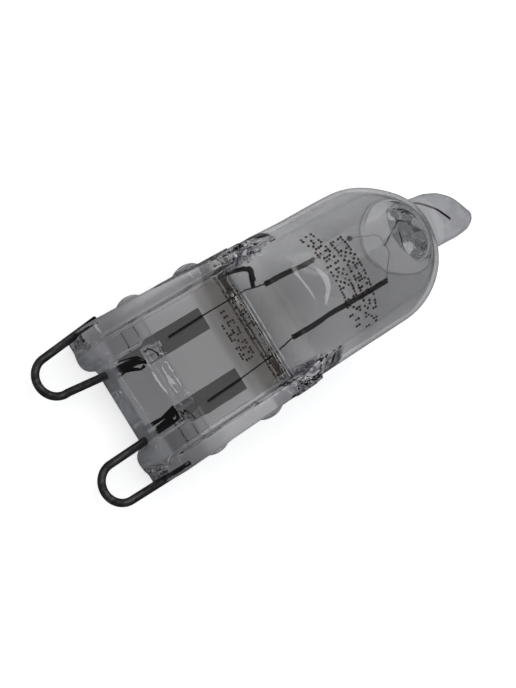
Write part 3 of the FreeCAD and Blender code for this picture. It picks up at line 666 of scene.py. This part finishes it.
def outer_bulb():
    # A round tube with a dome, cut to the shoulders' side view.
    bpy.ops.mesh.primitive_uv_sphere_add(
        segments=96, ring_count=48, radius=BULB_RADIUS,
        location=(DOME_CENTRE, 0.0, 0.0), rotation=(0.0, math.pi / 2, 0.0),
    )
    bulb = named("bulb_round")
    edit(bulb)
    bpy.ops.mesh.bisect(
        plane_co=(DOME_CENTRE, 0.0, 0.0), plane_no=(1.0, 0.0, 0.0), clear_inner=True
    )
    run = SKIRT_START + SKIRT_ROUND - DOME_CENTRE
    bpy.ops.mesh.extrude_region_move(TRANSFORM_OT_translate={"value": (run, 0.0, 0.0)})
    bpy.ops.mesh.extrude_region_move(TRANSFORM_OT_translate={"value": (-SKIRT_ROUND, 0.0, 0.0)})
    shrink = (BULB_RADIUS - SKIRT_ROUND) / BULB_RADIUS
    bpy.ops.transform.resize(
        value=(shrink, shrink, shrink), center_override=(SKIRT_START, 0.0, 0.0)
    )
    bpy.ops.mesh.edge_face_add()
    leave_edit()
    round_start = BULB_START - FACE_ROUND * math.cos(FACE_SLOPE)
    round_level = BULB_RADIUS - FACE_ROUND + FACE_ROUND * math.sin(FACE_SLOPE)
    foot_place = round_start - (round_level - HALF_WEB) * math.tan(FACE_SLOPE)
    corners = shoulder_outline(
        HALF_WEB, foot_place, round_start, round_level, BULB_START, FACE_ROUND, 40.0
    )
    return keep_common(bulb, block("shoulders", corners, "y", -8.0, 8.0))


def blown_form():
    form = outer_bulb()
    work(form, "REMESH", mode="VOXEL", voxel_size=FORM_VOXEL)
    work(form, "SMOOTH", factor=0.5, iterations=4)
    soften_shoulders(form, FORM_SOFTENING)
    true_round(form.data, BULB_RADIUS)
    return form


def inner_bulb(form):
    # The hollow follows the blown form one wall inside it, with a thick end inside the dome.
    hollow = form.copy()
    hollow.data = form.data.copy()
    bpy.context.collection.objects.link(hollow)
    edit(hollow)
    bpy.ops.transform.shrink_fatten(value=CAVITY_RADIUS - BULB_RADIUS)
    bpy.ops.mesh.bisect(
        plane_co=(CAVITY_START, 0.0, 0.0), plane_no=(1.0, 0.0, 0.0), clear_inner=True, use_fill=True
    )
    leave_edit()
    # It is flatter past the closing ring, and narrows to a rounded edge between the shoulders.
    for vertex in hollow.data.vertices:
        past = vertex.co.x - RING_PLACE
        if past > 0.0:
            vertex.co.x = RING_PLACE + past * 0.8
    for vertex in hollow.data.vertices:
        nose = (vertex.co.x - CAVITY_START) / 1.1
        if nose < 1.0:
            vertex.co.z *= math.sqrt(max(0.02, nose))
    soften_shoulders(hollow, HOLLOW_SOFTENING)
    true_round(hollow.data, CAVITY_RADIUS)
    # A shallow groove follows the ring, and a pit lies where the end was closed.
    for vertex in hollow.data.vertices:
        x, y, z = vertex.co
        if x > RING_PLACE - 1.0:
            out = math.hypot(y, z)
            pit = math.hypot(y + 0.35, z - 0.25)
            vertex.co.x += 0.05 * math.exp(-(((out - 3.4) / 0.3) ** 2))
            vertex.co.x += 0.1 * math.exp(-((pit / 1.2) ** 2))
    return hollow


def lean_dome(mesh):
    # The dome was blown a hair off the foot's axis and is flatter on its upper side.
    for vertex in mesh.vertices:
        x, y = vertex.co.xy
        past = max(0.0, x - 19.0) / 12.0
        along = min(1.0, max(0.0, (x - 16.5) / 3.0))
        up = max(0.0, y) / BULB_RADIUS
        vertex.co.y -= LEAN * past + DRAWN_IN * along * up
        if x > 21.0:
            angle = math.degrees(math.atan2(x - DOME_CENTRE, y))
            dent = DENT * math.exp(-(((angle - DENT_ANGLE) / DENT_SPREAD) ** 2)) * up
            vertex.co.x -= dent * math.sin(math.radians(max(0.0, angle)))
            vertex.co.y -= dent * math.cos(math.radians(angle))


def tip():
    # The stub where the bulb was closed off, which leans to the right.
    rings = [
        (BULB_END - 1.3, 0.0, 0.0, 2.75),
        (BULB_END + 0.1, 0.0, 0.0, 2.55),
        (BULB_END + 1.1, -0.02, 0.0, 2.4),
        (BULB_END + 2.3, -0.13, 0.0, 2.34),
        (BULB_END + 3.3, -0.36, 0.0, 2.17),
        (BULB_END + 4.1, -0.66, 0.0, 1.85),
        (BULB_END + 4.75, -1.05, 0.0, 1.38),
        (BULB_END + 5.45, -1.36, 0.0, 0.78),
        (BULB_END + 5.9, -1.36, 0.0, 0.36),
    ]
    return drawn("closed_tip", rings, 32)


def rounded(corners, radius, which, steps=5):
    # Rounds the named corners of an outline.
    path = []
    count = len(corners)
    for i, corner in enumerate(corners):
        if i not in which:
            path.append(corner)
            continue
        here = Vector(corner)
        back = (Vector(corners[i - 1]) - here).normalized()
        on = (Vector(corners[(i + 1) % count]) - here).normalized()
        half = math.acos(max(-1.0, min(1.0, back.dot(on)))) / 2
        reach = radius / math.tan(half)
        centre = here + (back + on).normalized() * (radius / math.sin(half))
        start = here + back * reach - centre
        end = here + on * reach - centre
        sweep = start.angle_signed(end)
        for k in range(steps + 1):
            turn = Matrix.Rotation(-sweep * k / steps, 2)
            path.append(tuple(centre + turn @ start))
    return path


WEB_OUTLINE = [
    (-0.1, -1.5), (2.7, -1.5), (4.12, -1.4), (13.4, -1.4),
    (13.4, 1.4), (4.12, 1.4), (3.95, 1.78), (2.85, 1.78), (2.7, 1.5), (-0.1, 1.5),
]
RIB_OUTLINE = [
    (-LOBE_DROP, -HALF_RIB), (RIB_END, -HALF_RIB), (RIB_END, HALF_RIB), (-LOBE_DROP, HALF_RIB)
]
GUSSET_OUTLINE = [(14.2, -2.2), (17.6, -1.3), (17.6, 1.3), (14.2, 2.2)]
SOFT_ANGLE = math.radians(50)

# In what follows, way is 1 on the left side and -1 on the right. The sides differ a little in
# the real glass, so a sum such as 0.04 + 0.04 * way gives each its own measure.


def side_rib(way):
    # A side wall of the foot, whose far end is drawn in to the bulb's side.
    outline = rounded(rounded(RIB_OUTLINE, 1.6, {0, 3}), 1.1, {6, 7})
    low, high = sorted((way * RIB_INNER, way * HALF_FOOT + 0.04 + 0.04 * way))
    rib = block("rib", outline, "y", low, high)
    for vertex in rib.data.vertices:
        if vertex.co.x > 14.0 and abs(vertex.co.y) > 6.0:
            vertex.co.y = way * 5.82 - 0.12
    return work(rib, "BEVEL", width=0.55, segments=4, angle_limit=SOFT_ANGLE)


def foot_lobe(way):
    # The rounded corner of the foot's end, beside a loop.
    drop = LOBE_DROP - 0.06 - 0.03 * way
    plan = [(-drop, 3.25), (3.0, 3.25), (3.0, 6.2), (2.6, HALF_FOOT), (-drop, HALF_FOOT)]
    plan = [(a, way * b) for a, b in rounded(rounded(plan, 1.9, {4}), 1.0, {0})]
    lobe = block("lobe", plan, "z", -2.1, 2.1)
    return work(lobe, "BEVEL", width=0.8, segments=4, angle_limit=SOFT_ANGLE)


def side_bump(way, along, half, proud):
    # A round bump on the foot's side, which the holder's clip catches.
    bpy.ops.mesh.primitive_uv_sphere_add(
        segments=24, ring_count=16, radius=1.0, location=(along, way * 5.85, 0.0)
    )
    bpy.context.object.scale = (half * 1.15, 0.86 + proud, 1.5)
    return named("bump")


def gusset(way):
    # The knobbly glass where a rib runs out on the bulb.
    low, high = sorted((way * (RIB_INNER + 0.1), way * 6.02))
    wedge = block("gusset", GUSSET_OUTLINE, "y", low, high)
    for vertex in wedge.data.vertices:
        if vertex.co.x > 17.0 and abs(vertex.co.y) > 6.0:
            vertex.co.y = way * 5.68 - 0.1
    return work(wedge, "BEVEL", width=0.25, segments=2)


def pinch_parts():
    # The middle web with its ridge, and what each side of the foot has.
    parts = [block("web", rounded(WEB_OUTLINE, 0.6, {0, 9}), "y", -5.6, 5.6)]
    for way in (1.0, -1.0):
        parts += [
            side_rib(way),
            foot_lobe(way),
            side_bump(way, 4.55, 1.05, 0.06 + 0.08 * way),
            side_bump(way, 10.1, 1.1, 0.04 + 0.04 * way),
            gusset(way),
        ]
    return parts


def true_round(mesh, radius):
    # Brings the blown part back onto its true round after the voxels.
    for vertex in mesh.vertices:
        x = vertex.co.x
        if x <= TRUE_START or x > BULB_END:
            continue
        middle = Vector((min(x, DOME_CENTRE), 0.0, 0.0))
        out = vertex.co - middle
        here = out.length
        if abs(here - radius) > TRUE_REACH:
            continue
        weight = min(1.0, (x - TRUE_START) / (TRUE_FULL - TRUE_START))
        vertex.co = vertex.co.lerp(middle + out * (radius / here), weight)


def soften_shoulders(shell, iterations):
    # The blown shoulders run softly into the round, with no crease.
    shell.vertex_groups.clear()
    group = shell.vertex_groups.new(name="shoulders")
    for vertex in shell.data.vertices:
        x, y, z = vertex.co
        along = min(1.0, max(0.0, (x - 12.5) / 0.5), max(0.0, (23.0 - x) / 3.0))
        off_web = min(1.0, max(0.0, (abs(z) - 1.42) / 0.35))
        off_ribs = min(1.0, max(0.0, (4.9 - abs(y)) / 0.6))
        group.add([vertex.index], along * (off_web * off_ribs), "REPLACE")
    work(shell, "SMOOTH", factor=0.5, iterations=iterations, vertex_group="shoulders")


def soften_neck(shell):
    # The tip runs softly out of the dome.
    shell.vertex_groups.clear()
    group = shell.vertex_groups.new(name="neck")
    for vertex in shell.data.vertices:
        x, y, z = vertex.co
        away = math.hypot(x - 30.75, math.hypot(y, z) - 2.55)
        group.add([vertex.index], max(0.0, min(1.0, 1.6 - away)), "REPLACE")
    work(shell, "SMOOTH", factor=0.5, iterations=NECK_SOFTENING, vertex_group="neck")


def glass_body():
    form = blown_form()
    hollow = inner_bulb(form)
    shell = joined("glass_shell", [form, tip()] + pinch_parts())
    work(shell, "REMESH", mode="VOXEL", voxel_size=SHELL_VOXEL)
    work(shell, "SMOOTH", factor=0.5, iterations=4)
    soften_shoulders(shell, SHELL_SOFTENING)
    true_round(shell.data, BULB_RADIUS)
    soften_neck(shell)
    # The hollow's faces look inwards, so that light meets a wall and not a solid bulb.
    hollow.data.flip_normals()
    glass = joined("blown_pressed_glass", [shell, hollow])
    lean_dome(glass.data)
    return smooth(glass, 55)


# Wires, foils and filament

def drawn_leg(run):
    # Draws the selected section along a straight leg.
    for _ in range(LEG_STEPS):
        bpy.ops.mesh.extrude_region_move(
            TRANSFORM_OT_translate={"value": [v / LEG_STEPS for v in run]}
        )


def loop_wire(name, way, splay):
    # Drawn down the outer leg, round the bend and up the inner leg.
    bend = HALF_FOOT - LOOP_INSET - LOOP_CENTRE
    bend_centre = bend - LOOP_REACH
    splay = math.radians(splay)
    knee = bend_centre - bend * math.sin(splay)
    outer_foot = LOOP_CENTRE + bend * math.cos(splay)
    inner_foot = LOOP_CENTRE - bend * math.cos(splay)
    outer_top = outer_foot + (OUTER_LEG_END - knee) * math.tan(splay)
    bpy.ops.mesh.primitive_circle_add(
        vertices=20, radius=WIRE_RADIUS, fill_type="NGON",
        location=(OUTER_LEG_END, way * outer_top, 0.0), rotation=(0.0, math.pi / 2, way * splay),
    )
    wire = named(name)
    edit(wire)
    drawn_leg((knee - OUTER_LEG_END, way * (outer_foot - outer_top), 0.0))
    bpy.ops.mesh.spin(
        steps=28, angle=math.pi, center=(bend_centre, way * LOOP_CENTRE, 0.0),
        axis=(0.0, 0.0, -way), dupli=False,
    )
    inner_top = inner_foot - (INNER_LEG_END - knee) * math.tan(splay)
    drawn_leg((INNER_LEG_END - knee, way * (inner_top - inner_foot), 0.0))
    leave_edit()
    for vertex in wire.data.vertices:
        vertex.co.x += 0.02 - 0.02 * way
        vertex.co.y -= 0.07 + 0.02 * way
    return wire


def wire_path(name, points, radius, uneven=False):
    # A thin wire through the given points.
    curve = bpy.data.curves.new(name, "CURVE")
    curve.dimensions = "3D"
    curve.bevel_depth = radius
    curve.bevel_resolution = 3
    curve.use_fill_caps = True
    spline = curve.splines.new("POLY")
    spline.points.add(len(points) - 1)
    for spot, here in zip(spline.points, points):
        spot.co = (*here, 1.0)
        if uneven:
            spot.radius = random.uniform(0.5, 1.25)
    obj = bpy.data.objects.new(name, curve)
    bpy.context.collection.objects.link(obj)
    only(obj)
    bpy.ops.object.convert(target="MESH")
    obj = bpy.context.object
    edit(obj)
    leave_edit()
    return obj


def coil(name, start, end):
    # One turn's section swept round and along by a screw, then laid along its leg.
    radius = COIL_DIAMETER / 2 - COIL_WIRE
    length = (Vector(end) - Vector(start)).length
    bpy.ops.mesh.primitive_circle_add(vertices=6, radius=COIL_WIRE, location=(0.0, 0.0, radius))
    obj = named(name)
    for vertex in obj.data.vertices:
        x, y, z = vertex.co
        vertex.co = (x, 0.0, z + y)
    turns = int(length / COIL_PITCH)
    work(
        obj, "SCREW", axis="X", screw_offset=length / turns, iterations=turns, steps=14,
        render_steps=14, use_merge_vertices=False, angle=math.tau,
    )
    heading = math.atan2(end[1] - start[1], end[0] - start[0])
    obj.data.transform(
        Matrix.Translation((start[0], start[1], FILAMENT_LEVEL)) @ Matrix.Rotation(heading, 4, "Z")
    )
    edit(obj)
    leave_edit()
    return obj


def filament():
    # Two coils, their tails and welded ends, and the bridge with its knot.
    z = FILAMENT_LEVEL
    left_foot, left_top = (15.45, 2.3), (21.0, 2.02)
    right_foot, right_top = (15.2, -2.38), (26.15, -2.6)
    parts = [
        coil("left_coil", left_foot, left_top),
        coil("right_coil", right_foot, right_top),
        wire_path("left_tail", [(9.1, 2.7, z), (13.95, 2.7, z), (15.5, 2.3, z)], COIL_WIRE),
        wire_path("right_tail", [(9.1, -2.9, z), (13.7, -2.65, z), (15.3, -2.38, z)], COIL_WIRE),
        wire_path("left_weld", [(5.75, 2.62, z + 0.07), (9.2, 2.7, z + 0.03)], WELD_WIRE),
        wire_path("right_weld", [(5.75, -2.98, z + 0.07), (9.2, -2.9, z + 0.03)], WELD_WIRE),
        wire_path(
            "bridge",
            [
                (20.9, 2.02, z), (25.05, 1.95, z), (27.4, 1.2, z), (27.85, 0.75, z),
                (27.85, -0.75, z), (27.4, -1.2, z), (26.1, -2.6, z),
            ],
            BRIDGE_WIRE,
        ),
    ]
    bpy.ops.mesh.primitive_ico_sphere_add(subdivisions=3, radius=0.24, location=(25.05, 1.95, z))
    parts.append(named("knot"))
    return smooth(joined("wound_filament", parts), WIRE_CREASE)


def top_support():
    z = FILAMENT_LEVEL
    path = [
        (34.5, -0.7, z), (33.7, 0.0, z), (32.4, 0.75, z),
        (30.6, 1.2, z), (29.2, 0.65, z), (27.75, -0.05, z),
    ]
    return smooth(wire_path("top_hook", path, TOP_HOOK_WIRE), WIRE_CREASE)


def foot_support():
    z = FILAMENT_LEVEL
    path = [
        (12.1, 4.75, z), (14.2, 4.35, z), (14.65, 4.22, z),
        (14.97, 4.0, z), (15.07, 3.7, z), (14.6, 2.5, z),
    ]
    return smooth(wire_path("foot_hook", path, FOOT_HOOK_WIRE), WIRE_CREASE)


# The crumpled strokes of each foil's welded end: a wire radius and the points in the plan.
FOLDS = {
    "left": [
        (0.11, ((1.08, 2.99), (1.8, 2.84), (2.56, 2.56), (3.05, 2.15), (3.23, 1.85))),
        (0.15, ((0.85, 2.52), (1.48, 2.55), (2.2, 2.24), (2.7, 2.05), (3.08, 1.85))),
        (0.15, ((0.6, 1.9), (1.1, 2.1), (1.74, 1.95), (2.35, 1.62), (2.75, 1.7))),
        (0.07, ((3.7, 2.7), (4.0, 2.3), (4.15, 2.0), (4.1, 1.8))),
        (0.06, ((4.4, 2.6), (4.6, 2.2), (4.55, 1.8))),
    ],
    "right": [
        (0.17, ((0.7, -2.2), (1.62, -2.24), (2.52, -2.14), (3.1, -1.9))),
        (0.19, ((0.95, -2.6), (1.63, -2.6), (2.6, -2.43), (3.08, -2.12))),
        (0.17, ((0.9, -3.0), (1.85, -3.1), (2.82, -2.92), (3.15, -2.3))),
        (0.09, ((2.7, -3.38), (3.2, -3.4), (3.6, -3.3), (3.5, -2.75))),
        (0.06, ((3.3, -2.1), (3.7, -2.6), (3.95, -3.2), (4.0, -3.6))),
    ],
}


def foil(name, way, centre):
    # A thin sheet with worn edges, and the crumpled strokes over its welded end.
    bpy.ops.mesh.primitive_grid_add(x_subdivisions=96, y_subdivisions=28, size=1.0)
    bpy.context.object.scale = (FOIL_LENGTH, FOIL_WIDTH, 1.0)
    bpy.context.object.location = (FOIL_CENTRE, way * centre, FOIL_LEVEL)
    sheet = named(name)
    edge = bpy.data.textures.new("edge_wear", "CLOUDS")
    edge.noise_scale = 0.5
    work(
        sheet, "DISPLACE", texture=edge, strength=0.05, mid_level=0.5,
        direction="Y", texture_coords="GLOBAL",
    )
    work(sheet, "SOLIDIFY", thickness=FOIL_THICKNESS, offset=0.0)
    parts = [sheet]
    for radius, path in FOLDS["left" if way > 0.0 else "right"]:
        lift = FOIL_LEVEL + 0.05 + radius * 1.3
        points = [(x, y, lift + random.uniform(0.0, 0.1)) for x, y in path]
        parts.append(wire_path("fold", points, radius, True))
    return smooth(joined(name, parts), 40)


# Rows of dotted marks: plain patterns of dots that spell nothing

DOT_HEIGHT = 0.05
FLAT_CELL = 0.26
CURVED_CELL = 0.275

# A cell is this much narrower across the lamp than along it.
CELL_ACROSS = 0.85
SHAPES = {
    "d": (".###.", "#.#.#", "#...#", "#.#.#", ".###."),
    "s": ("##.##", "#....", "##.##", "....#", "##.##"),
    "h": ("#.#.#", ".#.#.", "#...#", ".#.#.", "#.#.#"),
    "b": ("##.##", ".....", "#.##.", "....#", "##.#."),
    "c": ("#.#..", "..#.#", "#...#", "#.#..", "..#.#"),
    "q": ("#####", "#...#", ".....", "#...#", "#####"),
    "-": (".....", ".#.#.", ".#.#.", ".....", "....."),
    "z": ("#..##", "#..#.", "..#..", ".#..#", "##..#"),
}


def mark_dots(row, x_middle, first, pitch, cell):
    # Where the dots of one row lie, in the plan.
    spots = []
    for i, sign in enumerate(row):
        if sign == " ":
            continue
        for a, line in enumerate(SHAPES[sign]):
            for b, dot in enumerate(line):
                if dot == "#":
                    across = first + i * pitch + (b - 2) * cell * CELL_ACROSS
                    spots.append((x_middle + (2 - a) * cell, across))
    return spots


def dotted_marks():
    # Two rows on the flat foot and two round the bulb, each dot a little out of line.
    bpy.ops.mesh.primitive_circle_add(vertices=8, radius=0.107, fill_type="NGON")
    pattern = named("dot")
    edit(pattern)
    bpy.ops.mesh.extrude_region_move(TRANSFORM_OT_translate={"value": (0.0, 0.0, DOT_HEIGHT)})
    leave_edit()
    flat = mark_dots("hcdq zb", 11.8, -3.0, 1.12, FLAT_CELL)
    flat += mark_dots("-szd", 10.2, -1.9, 1.12, FLAT_CELL)
    curved = mark_dots("bdchqz-", 18.05, -3.25, 1.2, CURVED_CELL)
    curved += mark_dots("qhsdbz", 19.7, -1.85, 1.2, CURVED_CELL)
    dots = []
    for x, u in flat:
        dots.append(Matrix.Translation((x, -u, HALF_WEB - 0.045)))
    for x, u in curved:
        angle = math.asin(max(-0.98, min(0.98, u / BULB_RADIUS)))
        turn = Matrix.Rotation(angle, 4, "X")
        lift = Matrix.Translation((0.0, 0.0, BULB_RADIUS - 0.042))
        dots.append(Matrix.Translation((x, 0.0, 0.0)) @ turn @ lift)
    copies = []
    for spot in dots:
        copy = pattern.copy()
        copy.data = pattern.data.copy()
        wobble = Matrix.Translation((random.uniform(-0.02, 0.02), random.uniform(-0.02, 0.02), 0.0))
        copy.data.transform(spot @ wobble @ Matrix.Scale(random.uniform(0.85, 1.1), 4))
        bpy.context.collection.objects.link(copy)
        copies.append(copy)
    bpy.data.objects.remove(pattern)
    return joined("dotted_marks", copies)


# Floor, light and camera

# The floor glows where it is seen through the glass, and where the camera sees it: near the
# lamp, and how much more far from it.
FLOOR_THROUGH_GLASS = 0.42
FLOOR_SEEN = 0.68
FLOOR_SEEN_FAR = 0.34
FLOOR_TONE = colour(0.8, 0.8, 0.8)
DULL = colour(0.3, 0.3, 0.3)
SKY = colour(0.95, 0.97, 1.0)
SKY_LEVEL = 0.52
MIRRORED_SKY_LEVEL = 0.16

# Small screens over the foot: middle x and y, length and width, in metres.
FLAG_HEIGHT = 0.012
FLAGS = (
    (-0.011, 0.0061, 0.009, 0.0092),
    (-0.011, -0.0061, 0.009, 0.0092),
    (-0.01355, 0.0, 0.0039, 0.003),
)


def stage_floor():
    # White where the camera sees it, lit where it is seen through the glass, dull in reflections.
    bpy.ops.mesh.primitive_plane_add(size=1.2)
    floor = named("floor")
    finish = Finish("pale_floor")
    point = finish.add("ShaderNodeTexCoord", out="Object")
    reach = finish.add("ShaderNodeVectorMath", {"operation": "LENGTH"}, {0: point}, out="Value")
    far = finish.rise(reach, 0.04, 0.13)
    matte = finish.diffuse(finish.tint(far, FLOOR_TONE, DULL))
    lit = finish.glow(WHITE, FLOOR_THROUGH_GLASS - far * FLOOR_THROUGH_GLASS)
    near = finish.add("ShaderNodeAddShader", None, {0: matte, 1: lit})
    white = finish.glow(WHITE, FLOOR_SEEN + far * FLOOR_SEEN_FAR)
    seen = finish.add("ShaderNodeAddShader", None, {0: matte, 1: white})
    camera, through, mirrored = finish.rays()
    shader = finish.mix(through, matte, near)
    shader = finish.mix(mirrored, shader, finish.diffuse(DULL))
    shader = finish.mix(camera, shader, seen)
    floor.data.materials.append(finish.close(shader))


def world_light():
    world = bpy.data.worlds.new("studio")
    bpy.context.scene.world = world
    world.use_nodes = True
    tree = world.node_tree
    tree.nodes.clear()
    back = tree.nodes.new("ShaderNodeBackground")
    back.inputs["Color"].default_value = SKY
    path = tree.nodes.new("ShaderNodeLightPath")
    level = tree.nodes.new("ShaderNodeMapRange")
    level.inputs["To Min"].default_value = SKY_LEVEL
    level.inputs["To Max"].default_value = MIRRORED_SKY_LEVEL
    mirrored = tree.nodes.new("ShaderNodeMath")
    mirrored.operation = "SUBTRACT"
    tree.links.new(path.outputs["Is Glossy Ray"], mirrored.inputs[0])
    tree.links.new(path.outputs["Is Transmission Ray"], mirrored.inputs[1])
    tree.links.new(mirrored.outputs[0], level.inputs["Value"])
    tree.links.new(level.outputs[0], back.inputs["Strength"])
    out = tree.nodes.new("ShaderNodeOutputWorld")
    tree.links.new(back.outputs[0], out.inputs["Surface"])


def area_light(name, at, towards, wide, high, power):
    data = bpy.data.lights.new(name, "AREA")
    data.shape = "RECTANGLE"
    data.size = wide
    data.size_y = high
    data.energy = power
    obj = bpy.data.objects.new(name, data)
    bpy.context.collection.objects.link(obj)
    obj.location = at
    obj.rotation_euler = (Vector(towards) - Vector(at)).to_track_quat("-Z", "Y").to_euler()


def only_mirrored(name, tone, strength_of):
    # A glow that only mirrored rays meet.
    finish = Finish(name)
    mirrored = finish.rays()[2]
    clear = finish.add("ShaderNodeBsdfTransparent")
    return finish.close(finish.mix(mirrored, clear, finish.glow(tone, strength_of(finish))))


def ring_light(at, radius, wide, thick, strength):
    # Two arcs that show in the bulb's highlight alone.
    turn = (Vector((0.0, 0.0, 0.01)) - Vector(at)).to_track_quat("-Z", "Y").to_euler()
    bpy.ops.mesh.primitive_torus_add(
        major_segments=48, minor_segments=8, major_radius=radius, minor_radius=thick,
    )
    bpy.context.object.scale = (wide, 1.0, 1.0)
    ring = named("ring_light")
    ring.location = at
    ring.rotation_euler = turn

    def arcs(finish):
        y = finish.parts(finish.add("ShaderNodeTexCoord", out="Object"))[1]
        return finish.rise(finish.size(y), 0.4 * radius, 0.7 * radius) * strength

    ring.data.materials.append(only_mirrored("ring_glow", WHITE, arcs))


def flags():
    # Keep the arcs' mirror image off the pressed foot, apart from the middle of its ridge.
    screens = []
    for x, y, long, wide in FLAGS:
        bpy.ops.mesh.primitive_plane_add(size=1.0, location=(x, y, FLAG_HEIGHT))
        bpy.context.object.scale = (long, wide, 1.0)
        screens.append(bpy.context.object)
    screen = joined("flags", screens)
    screen.data.materials.append(only_mirrored("dim_flag", SKY, lambda finish: MIRRORED_SKY_LEVEL))


def photo_camera():
    # Seen from the foot's side, above the broad face. These were fitted to the photo's outline.
    recede, lean, roll = math.radians(31.0), math.radians(-1.3), math.radians(32.15)
    distance = 112.06
    target = Vector((12.34, -1.375, 0.0))
    back = Vector(
        (-math.sin(recede), -math.cos(recede) * math.sin(lean), math.cos(recede) * math.cos(lean))
    )
    axis = Vector((1.0, 0.0, 0.0))
    along = (axis - back * axis.dot(back)).normalized()
    across = (-back).cross(along)
    right = along * math.cos(roll) + across * math.sin(roll)
    up = along * math.sin(roll) - across * math.cos(roll)
    turn = LAID.to_3x3()
    frame_of = Matrix((turn @ right, turn @ up, turn @ back)).transposed().to_4x4()
    data = bpy.data.cameras.new("camera")
    sensor = 36.0
    focal_pixels = 1450.0
    picture_height = 688.0
    data.sensor_width = sensor
    data.lens = focal_pixels * sensor / picture_height
    data.clip_start = 0.005
    data.clip_end = 5.0
    camera = bpy.data.objects.new("camera", data)
    bpy.context.collection.objects.link(camera)
    spot = LAMP_TO_ROW @ (target + back * distance)
    camera.matrix_world = Matrix.Translation(spot) @ frame_of
    bpy.context.scene.camera = camera


photo_camera()
world_light()
stage_floor()
area_light(
    "overhead_softbox", (0.10, 0.225, 0.42), (0.0, 0.0, 0.0), wide=0.36, high=0.36, power=0.34
)
ring_light((-0.064, 0.032, 0.29), radius=0.125, wide=0.95, thick=0.02, strength=4.5)
flags()

wire_look = wire_finish()
foil_look = foil_finish()
support_look = support_finish()

glass = glass_body()
glass.data.materials.append(glass_finish())
place(glass, "clear_glass", "glass_envelope")

left_wire = smooth(loop_wire("left_loop_wire", 1.0, splay=6.0), WIRE_CREASE)
right_wire = smooth(loop_wire("right_loop_wire", -1.0, splay=1.2), WIRE_CREASE)
for wire, node in ((left_wire, "left_contact_loop"), (right_wire, "right_contact_loop")):
    wire.data.materials.append(wire_look)
    place(wire, "contact_wire", node)

for side, way, centre in (("left", 1.0, 2.48), ("right", -1.0, 2.87)):
    sheet = foil("%s_crumpled_foil" % side, way, centre)
    sheet.data.materials.append(foil_look)
    place(sheet, "seal_foil", "%s_foil" % side)

wound = filament()
wound.data.materials.append(coil_finish())
place(wound, "filament_wire", "filament")

for hook, node in ((top_support(), "top_support"), (foot_support(), "foot_support")):
    hook.data.materials.append(support_look)
    place(hook, "support_wire", node)

marks = dotted_marks()
marks.data.materials.append(ink_finish())
place(marks, "clear_glass")

scene = bpy.context.scene
scene.view_settings.view_transform = "Standard"
scene.cycles.max_bounces = 24
scene.cycles.transmission_bounces = 20
scene.cycles.glossy_bounces = 8
scene.cycles.transparent_max_bounces = 24
scene.cycles.caustics_reflective = False
scene.cycles.caustics_refractive = False
